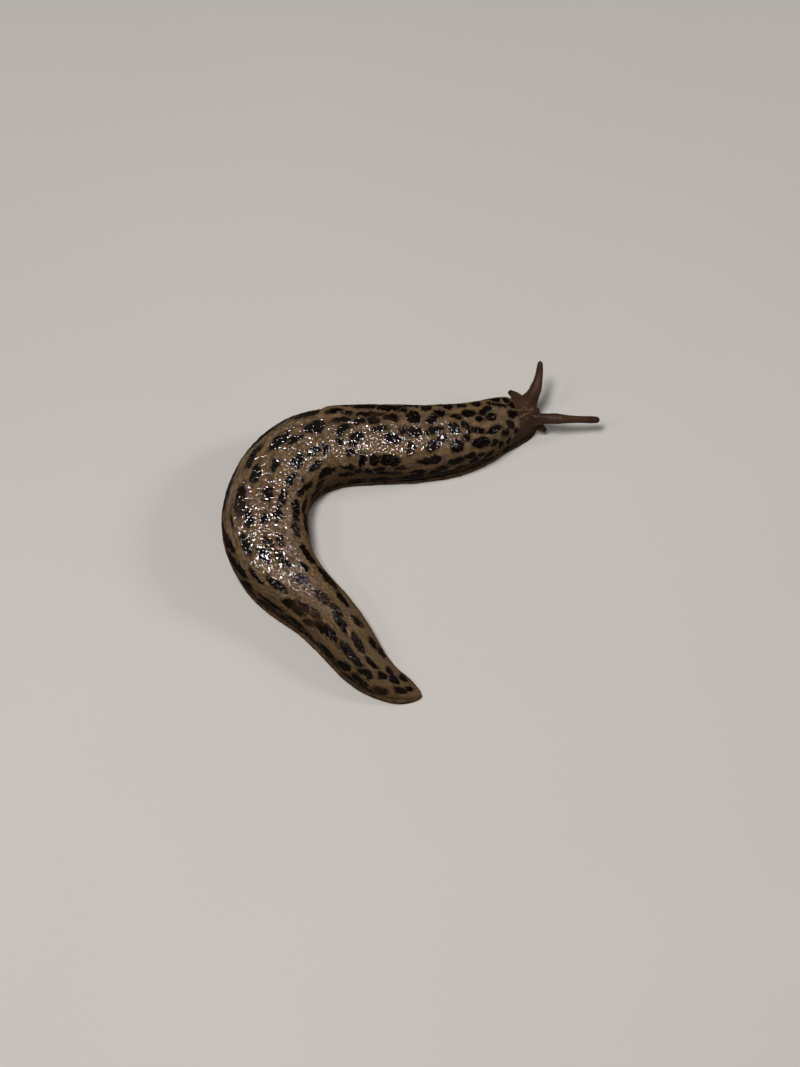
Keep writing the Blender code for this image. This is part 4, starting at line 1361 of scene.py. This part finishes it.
def adrift(tree, where, scale, reach):
    """Coordinates pushed about by a noise, so that a pattern read from them isn't even."""
    push = add(tree, "ShaderNodeTexNoise", "Color", {"Vector": where, "Scale": scale, "Detail": 1.0})
    return add(tree, "ShaderNodeVectorMath", 0, {0: push, 1: (reach, reach, 0.0), 2: where},
               operation="MULTIPLY_ADD")


print("patterns:", [helper.__name__ for helper in (mark, noise, stretched, adrift)])


# %% Arithmetic and mixing
def sums(tree, operation, first, second):
    """One step of arithmetic."""
    return add(tree, "ShaderNodeMath", 0, {0: first, 1: second}, operation=operation)


def product(tree, first, second):
    """Two values multiplied."""
    return sums(tree, "MULTIPLY", first, second)


def between(tree, value, low, high, new_low=0.0, new_high=1.0):
    """A value eased from one range to another, and held at the ends."""
    return add(tree, "ShaderNodeMapRange", "Result",
               {"Value": value, "From Min": low, "From Max": high, "To Min": new_low, "To Max": new_high},
               interpolation_type="SMOOTHSTEP")


def blend(tree, amount, first, second, mode="MIX"):
    """Two colours mixed by an amount."""
    return add(tree, "ShaderNodeMix", 2, {0: amount, 6: first, 7: second},
               data_type="RGBA", blend_type=mode)


def painted(tree, ground, layers):
    """Paints laid over a ground one after another, each by its own amount."""
    for amount, colour in layers:
        ground = blend(tree, amount, ground, colour)
    return ground


print("steps:", [helper.__name__ for helper in (sums, product, between, blend, painted)])


# %% Beads and bumps
def caps(tree, where, scale, dimensions):
    """Rounded beads side by side: 0 at the middle of each, falling with the square of the
    distance from it."""
    away = add(tree, "ShaderNodeTexVoronoi", "Distance", {"Vector": where, "Scale": scale},
               voronoi_dimensions=dimensions)
    return product(tree, product(tree, away, away), -1.0)


def bumped(tree, height, depth, **below):
    """A bump of a depth in metres, on top of another one where that is given as Normal."""
    return add(tree, "ShaderNodeBump", "Normal",
               {"Height": height, "Distance": depth, "Strength": 1.0, **below})


print("reliefs:", [helper.__name__ for helper in (caps, bumped)])

# %% [markdown]
# ## The colours of the skin
# The skin is warm tan, with painted shade in the grooves and hollows, and clouded by blots
# and fine grains, with near-black spots whose edges are soft. Some spots are faded to brown,
# but none in front. The low flanks are browner, partly their own tone and partly painted
# shade. The head is maroon brown, the fringe orange brown and darkened with painted shade
# by the ground, the sole pale. One tint for everything would look like plastic. So paints
# are laid over each other in order, as with a brush, each by a mark of the mesh or by a noise.

# %% Paints of the skin
TAN = paint(108, 86, 60)
TAN_DARK = paint(70, 52, 33)
TAN_GREY = paint(98, 82, 61)
# The low flanks' brown is partly their own tone and partly painted shade.
FLANK_TONE_AND_SHADE = paint(68, 48, 28)
# Painted shade for the grooves, creases and hollows, and under the mantle's edge.
GROOVE_SHADE = paint(34, 23, 13)
HEAD = paint(62, 42, 32)
HEAD_DARK = paint(42, 28, 21)
TENTACLE = paint(60, 42, 31)
TENTACLE_TIP = paint(42, 29, 19)
TAIL = paint(84, 65, 43)
# The hem's orange brown, darkened with painted shade where the foot meets the ground; its clouds are
# darker still.
FRINGE_BROWN_AND_SHADE = paint(76, 55, 36)
FRINGE_DARK = paint(46, 31, 19)
SOLE = paint(160, 142, 114)
KEEL = paint(124, 102, 75)
print("tan as a linear colour:", [round(channel, 3) for channel in TAN[:3]])


# %% The ground colour
CLOUDS = 170.0
STREAK_SHAPE = (0.3, 1.2, 1.0)
HEM_CLOUDS = 620.0


def ground_colour(tree, place, flow, streakiness):
    """The skin without its spots, from the lowest paint to the topmost. Streaks along the
    body are strongest on the low flanks, and elsewhere they have their own streakiness.
    The low flanks are browner, partly their own tone and partly painted shade, the hem's
    orange brown is darkened with painted shade by the ground, and the hollows get painted shade."""
    clouds = between(tree, noise(tree, place, CLOUDS, 3.0), 0.35, 0.65)
    streaks = between(tree, noise(tree, stretched(tree, flow, STREAK_SHAPE), 1.0, 3.0, 0.6), 0.4, 0.66)
    low = mark(tree, "low")
    streaks = product(tree, streaks, between(tree, low, 0.0, 1.0, streakiness, 1.0))
    hem = blend(tree, between(tree, noise(tree, place, HEM_CLOUDS), 0.42, 0.6), FRINGE_BROWN_AND_SHADE, FRINGE_DARK)
    reach = mark(tree, "reach")
    brown = painted(tree, HEAD, [
        (clouds, HEAD_DARK),
        (between(tree, reach, 0.0, 0.45), TENTACLE),
        (between(tree, reach, 0.72, 1.0), TENTACLE_TIP)])
    # Painted shade, laid by how little the relief fills each place.
    hollow = sums(tree, "SUBTRACT", 1.0, mark(tree, "filled"))
    return painted(tree, TAN, [
        (clouds, TAN_GREY),
        (product(tree, low, 0.8), FLANK_TONE_AND_SHADE),
        (streaks, TAN_DARK),
        (product(tree, mark(tree, "tail"), 0.6), TAIL),
        (product(tree, mark(tree, "fringe"), 0.85), hem),
        (mark(tree, "head"), brown),
        (product(tree, mark(tree, "pale"), 0.7), KEEL),
        (mark(tree, "sole"), SOLE),
        (product(tree, hollow, 0.6), GROOVE_SHADE)])


print("clouds of the ground:", round(1 / (CLOUDS * MM), 1), "mm")

# %% The spots over it
SPOT = paint(8, 4, 2)
SPOT_PALE = paint(26, 17, 10)
SPOT_EDGE = paint(38, 25, 16)
SPOT_BROWN = paint(50, 35, 23)
SPOT_FRAY = 0.45
# From the snout to the first of these shares of the body no spot is faded.
CRISP_FRONT = (0.13, 0.21)


def spotted(tree, place, unrolled, ground):
    """The ground with spots: a soft brown edge, near black within, paler clouds in the
    middle, and brown over the faded ones."""
    fray = sums(tree, "SUBTRACT", noise(tree, place, 1500.0, 3.0, 0.6), 0.5)
    depth = sums(tree, "ADD", mark(tree, "spot"), product(tree, fray, SPOT_FRAY))
    inner = blend(tree, between(tree, noise(tree, place, 1100.0), 0.5, 0.72), SPOT, SPOT_PALE)
    faded = between(tree, noise(tree, place, 150.0, 1.0), 0.53, 0.72, 0.0, 0.45)
    from_front = add(tree, "ShaderNodeSeparateXYZ", "X", {"Vector": unrolled})
    faded = product(tree, faded, between(tree, from_front, *CRISP_FRONT))
    return painted(tree, ground, [
        (between(tree, depth, -0.5, 0.05, 0.0, 0.62), SPOT_EDGE),
        (between(tree, depth, -0.18, 0.06), SPOT),
        (between(tree, depth, 0.3, 0.6, 0.0, 0.8), inner),
        (product(tree, faded, between(tree, depth, -0.3, -0.05)), SPOT_BROWN)])


print("spots frayed by up to", SPOT_FRAY / 2, "mm")

# %% [markdown]
# ## The slime
# Slime lies on the back in beads less than a millimetre wide, and each bead mirrors the
# lamps as one small spark. A smooth clear coat would mirror them as one broad patch. So
# the coat has a bump of rounded caps side by side. Its high index makes the sparks bright,
# and its small weight, which follows the mark for wet, leaves the paint under it deep.

# %% Beads of slime
BEAD_SHAPE = (1 / 0.8, 1 / 0.6, 1.0)
BEAD_DEPTH = 0.00024
BEAD_DRIFT = 1.6
HEAD_BEADS = 1700.0
HEAD_BEAD_SHARE = 0.5
FILM_DEPTH = 0.00006
WET_MOST = 0.32
WET_LEAST = 0.04


def slime(tree, place, flow):
    """The coat's bump: beads of 0.8 by 0.6 mm along the body, smaller and flatter ones on
    the head, and under both a slightly uneven film."""
    beads = caps(tree, stretched(tree, adrift(tree, flow, 0.6, BEAD_DRIFT), BEAD_SHAPE), 1.0, "2D")
    head_beads = product(tree, caps(tree, place, HEAD_BEADS, "3D"), HEAD_BEAD_SHARE)
    head = mark(tree, "head")
    beads = sums(tree, "ADD", product(tree, beads, sums(tree, "SUBTRACT", 1.0, head)),
                 product(tree, head_beads, head))
    film = bumped(tree, noise(tree, place, 900.0), FILM_DEPTH)
    return bumped(tree, beads, BEAD_DEPTH, Normal=film)


print("depth of the beads' bump:", round(BEAD_DEPTH / MM, 2), "mm")

# %% The skin's finish
GRAIN = 3300.0
PORES = 2300.0
PORE_DEPTH = 0.00013


def wet_skin(name, streakiness):
    """The whole recipe: ground, spots, grain and pores, and the slime as a clear coat."""
    material, tree, shader = start_finish(name)
    place = add(tree, "ShaderNodeTexCoord", "Object", {})
    unrolled = add(tree, "ShaderNodeTexCoord", "UV", {})
    flow = stretched(tree, unrolled, (BODY_LENGTH, WIDEST_GIRTH, 1.0))
    grain = noise(tree, place, GRAIN, 2.0, 0.6)
    colour = spotted(tree, place, unrolled, ground_colour(tree, place, flow, streakiness))
    dust = between(tree, grain, 0.3, 0.7, 0.84, 1.14)
    grey = add(tree, "ShaderNodeCombineColor", "Color", {"Red": dust, "Green": dust, "Blue": dust})
    shallow = between(tree, mark(tree, "head"), 0.0, 1.0, 0.4, 1.0)
    pores = product(tree, noise(tree, place, PORES, 3.0, 0.55), shallow)
    feed(tree, shader, {
        "Base Color": blend(tree, 1.0, colour, grey, "MULTIPLY"),
        "Roughness": between(tree, grain, 0.3, 0.7, 0.4, 0.55),
        "Normal": bumped(tree, pores, PORE_DEPTH),
        "IOR": 1.35,
        "Specular IOR Level": 0.0,
        "Subsurface Weight": 0.06,
        "Subsurface Radius": (1.0, 0.5, 0.25),
        "Subsurface Scale": 0.0005,
        "Coat Normal": slime(tree, place, flow),
        "Coat Weight": between(tree, mark(tree, "wet"), 0.0, 1.0, WET_LEAST, WET_MOST),
        "Coat Roughness": 0.06,
        "Coat IOR": 2.4})
    return material


slug_skin.data.materials.append(wet_skin("wet_skin", 0.8))
slug_mantle.data.materials.append(wet_skin("wet_mantle", 0.6))
print("nodes in the skin's finish:", len(bpy.data.materials["wet_skin"].node_tree.nodes))

# %% [markdown]
# ## The eyes' glass
# An eye is black and bright. A faint brown cloud keeps it from reading as a hole, and a
# clear coat over it gives the one highlight. The glass itself mirrors almost nothing, or
# the pale wall would turn it grey.

# %% The eyes' finish
EYE_BLACK = paint(12, 9, 8)
EYE_BROWN = paint(34, 24, 18)
EYE_CLOUDS = 2600.0


def black_glass(name):
    """Near black, clouded with brown, under a clear coat."""
    material, tree, shader = start_finish(name)
    cloud = noise(tree, add(tree, "ShaderNodeTexCoord", "Object", {}), EYE_CLOUDS, 3.0)
    feed(tree, shader, {
        "Base Color": blend(tree, between(tree, cloud, 0.4, 0.7), EYE_BLACK, EYE_BROWN),
        "Roughness": between(tree, cloud, 0.3, 0.7, 0.2, 0.35),
        "Normal": bumped(tree, cloud, 0.00001),
        "Specular IOR Level": 0.05,
        "Coat Weight": 0.4,
        "Coat Roughness": 0.04})
    return material


eye_glass = black_glass("eye_glass")
for eye in eyes:
    eye.data.materials.append(eye_glass)
print("finishes made:", [material.name for material in (slug_skin.active_material, eye_glass)])

# %% [markdown]
# ## Each piece takes its place
# The skin stands for all the solids of flesh but the mantle, which has its own piece, as
# the eyes have. The model is still, so every piece rides on the one body there is.

# %% Ride and replace
FLESH = ["head", "trunk_front", "trunk_bend_front", "trunk_bend_rear", "trunk_rear", "tail",
         "foot_front", "foot_bend_front", "foot_bend_rear", "foot_rear",
         "upper_tentacle_left", "upper_tentacle_right", "lower_tentacle_left", "lower_tentacle_right"]
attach(slug_skin, "root")
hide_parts(*FLESH)
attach(slug_mantle, "root")
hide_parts("mantle")
for eye, node in zip(eyes, ("eye_left", "eye_right")):
    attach(eye, "root")
    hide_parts(node)
print("solids that the skin stands for:", len(FLESH))

# %% [markdown]
# ## Floor, light and camera
# The floor is plain and pale. One white lamp gives the form and the shadow, and nothing
# mirrors it. Three small tinted lamps round it are there only to be mirrored by the slime,
# so the sparks have faint colours while the floor and the shadows stay neutral. A weak lamp
# on the left and one at the right front reach the flanks and the face. The wall round it
# all glows dimly, and only the camera sees it paler. The camera looks steeply down at the
# animal from half a metre, with the long side of the frame upright.

# %% Pale floor
FLOOR_HALF = 0.5
FLOOR_DROP = 0.00002
FLOOR_PALE = paint(176, 174, 169)
FLOOR_SHADE = paint(170, 168, 163)
corners = [(x * FLOOR_HALF, y * FLOOR_HALF, -FLOOR_DROP) for x, y in ((-1, -1), (1, -1), (1, 1), (-1, 1))]
floor_mesh = bpy.data.meshes.new("floor")
floor_mesh.from_pydata(corners, [], [(0, 1, 2, 3)])
floor = bpy.data.objects.new("floor", floor_mesh)
bpy.context.scene.collection.objects.link(floor)
floor_finish, floor_tree, floor_shader = start_finish("pale_floor")
clouds = noise(floor_tree, add(floor_tree, "ShaderNodeTexCoord", "Object", {}), 9.0)
feed(floor_tree, floor_shader, {"Base Color": blend(floor_tree, clouds, FLOOR_PALE, FLOOR_SHADE),
                                "Roughness": 0.75})
floor_mesh.materials.append(floor_finish)
floor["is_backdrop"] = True
print("floor:", 2 * FLOOR_HALF, "m square")


# %% Lamps
def aim(thing, place, target):
    """Put a lamp or camera at a place and turn its front to the target."""
    back = unit(np.array(place) - np.array(target))
    right = unit(np.cross((0.0, 0.0, 1.0), back))
    up = np.cross(back, right)
    rows = [(right[i], up[i], back[i], place[i]) for i in range(3)]
    thing.matrix_world = Matrix([*rows, (0, 0, 0, 1)])
    bpy.context.scene.collection.objects.link(thing)


def lamp(name, place, size, power, colour):
    """A square area light that faces the animal."""
    light = bpy.data.lights.new(name, "AREA")
    light.size = size
    light.energy = power
    light.color = colour
    thing = bpy.data.objects.new(name, light)
    aim(thing, place, (0.0, 0.0, 0.0))
    return thing


KEY_PLACE = np.array([-0.12, -0.10, 0.60])
KEY_SIZE = 0.14
KEY_POWER = 3.75
KEY_WHITE = (1.0, 0.95, 0.94)
SPARK_RING = 0.065
SPARK_SIZE = 0.07
SPARK_POWER = 1.6
SPARK_COLOURS = [(1.0, 0.56, 0.78), (0.62, 0.86, 1.0), (1.0, 1.0, 0.58)]
WARM_WHITE = (1.0, 0.98, 0.95)
# Name, place, size and power of the two soft lamps.
SOFT_LAMPS = [("soft_left", (-0.7, -0.3, 0.9), 0.15, 1.3), ("soft_right", (0.85, 0.15, 0.5), 0.2, 3.6)]

key = lamp("key", KEY_PLACE, KEY_SIZE, KEY_POWER, KEY_WHITE)
key.visible_glossy = False
for number, colour in enumerate(SPARK_COLOURS):
    turn = math.tau * number / len(SPARK_COLOURS)
    beside = SPARK_RING * np.array([math.cos(turn), math.sin(turn), 0.0])
    spark = lamp("spark_" + str(number), KEY_PLACE + beside, SPARK_SIZE, SPARK_POWER, colour)
    spark.visible_diffuse = False
for name, place, size, power in SOFT_LAMPS:
    lamp(name, place, size, power, WARM_WHITE)
print("lamps:", len(bpy.data.lights))

# %% The wall
WORLD_GLOW = 0.08
WALL_GLOW = 0.42

world = bpy.data.worlds.new("studio")
world.use_nodes = True
wall = world.node_tree.nodes["Background"]
seen = add(world.node_tree, "ShaderNodeLightPath", "Is Camera Ray", {})
glow = between(world.node_tree, seen, 0.0, 1.0, WORLD_GLOW, WALL_GLOW)
feed(world.node_tree, wall, {"Color": (*WARM_WHITE, 1.0), "Strength": glow})
bpy.context.scene.world = world
print("glow of the wall, for the animal and for the camera:", WORLD_GLOW, WALL_GLOW)

# %% Camera
CAMERA_TARGET = (-0.0030, 0.0018, 0.0)
CAMERA_TILT = math.radians(63.0)
CAMERA_DISTANCE = 0.5
LENS = 76.7
SENSOR = 36.0
camera_place = (CAMERA_TARGET[0], CAMERA_TARGET[1] - CAMERA_DISTANCE * math.cos(CAMERA_TILT),
                CAMERA_DISTANCE * math.sin(CAMERA_TILT))
camera_data = bpy.data.cameras.new("camera")
camera_data.lens = LENS
camera_data.sensor_fit = "VERTICAL"
camera_data.sensor_height = SENSOR
camera_data.clip_start = 0.01
camera = bpy.data.objects.new("camera", camera_data)
aim(camera, camera_place, CAMERA_TARGET)
bpy.context.scene.camera = camera
bpy.context.scene.view_settings.view_transform = "Standard"
print("camera at", [round(value, 3) for value in camera_place], "m")

# %% [markdown]
# ## Last measures
# Both boxes, of the solids and of the dressed model, are printed.

# %% Write the sizes and finish
visual_box = [list(corner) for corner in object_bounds()]
for name, box in (("solids", cad_box), ("dressed", visual_box)):
    print(name, [[round(value / MM, 2) for value in corner] for corner in box])
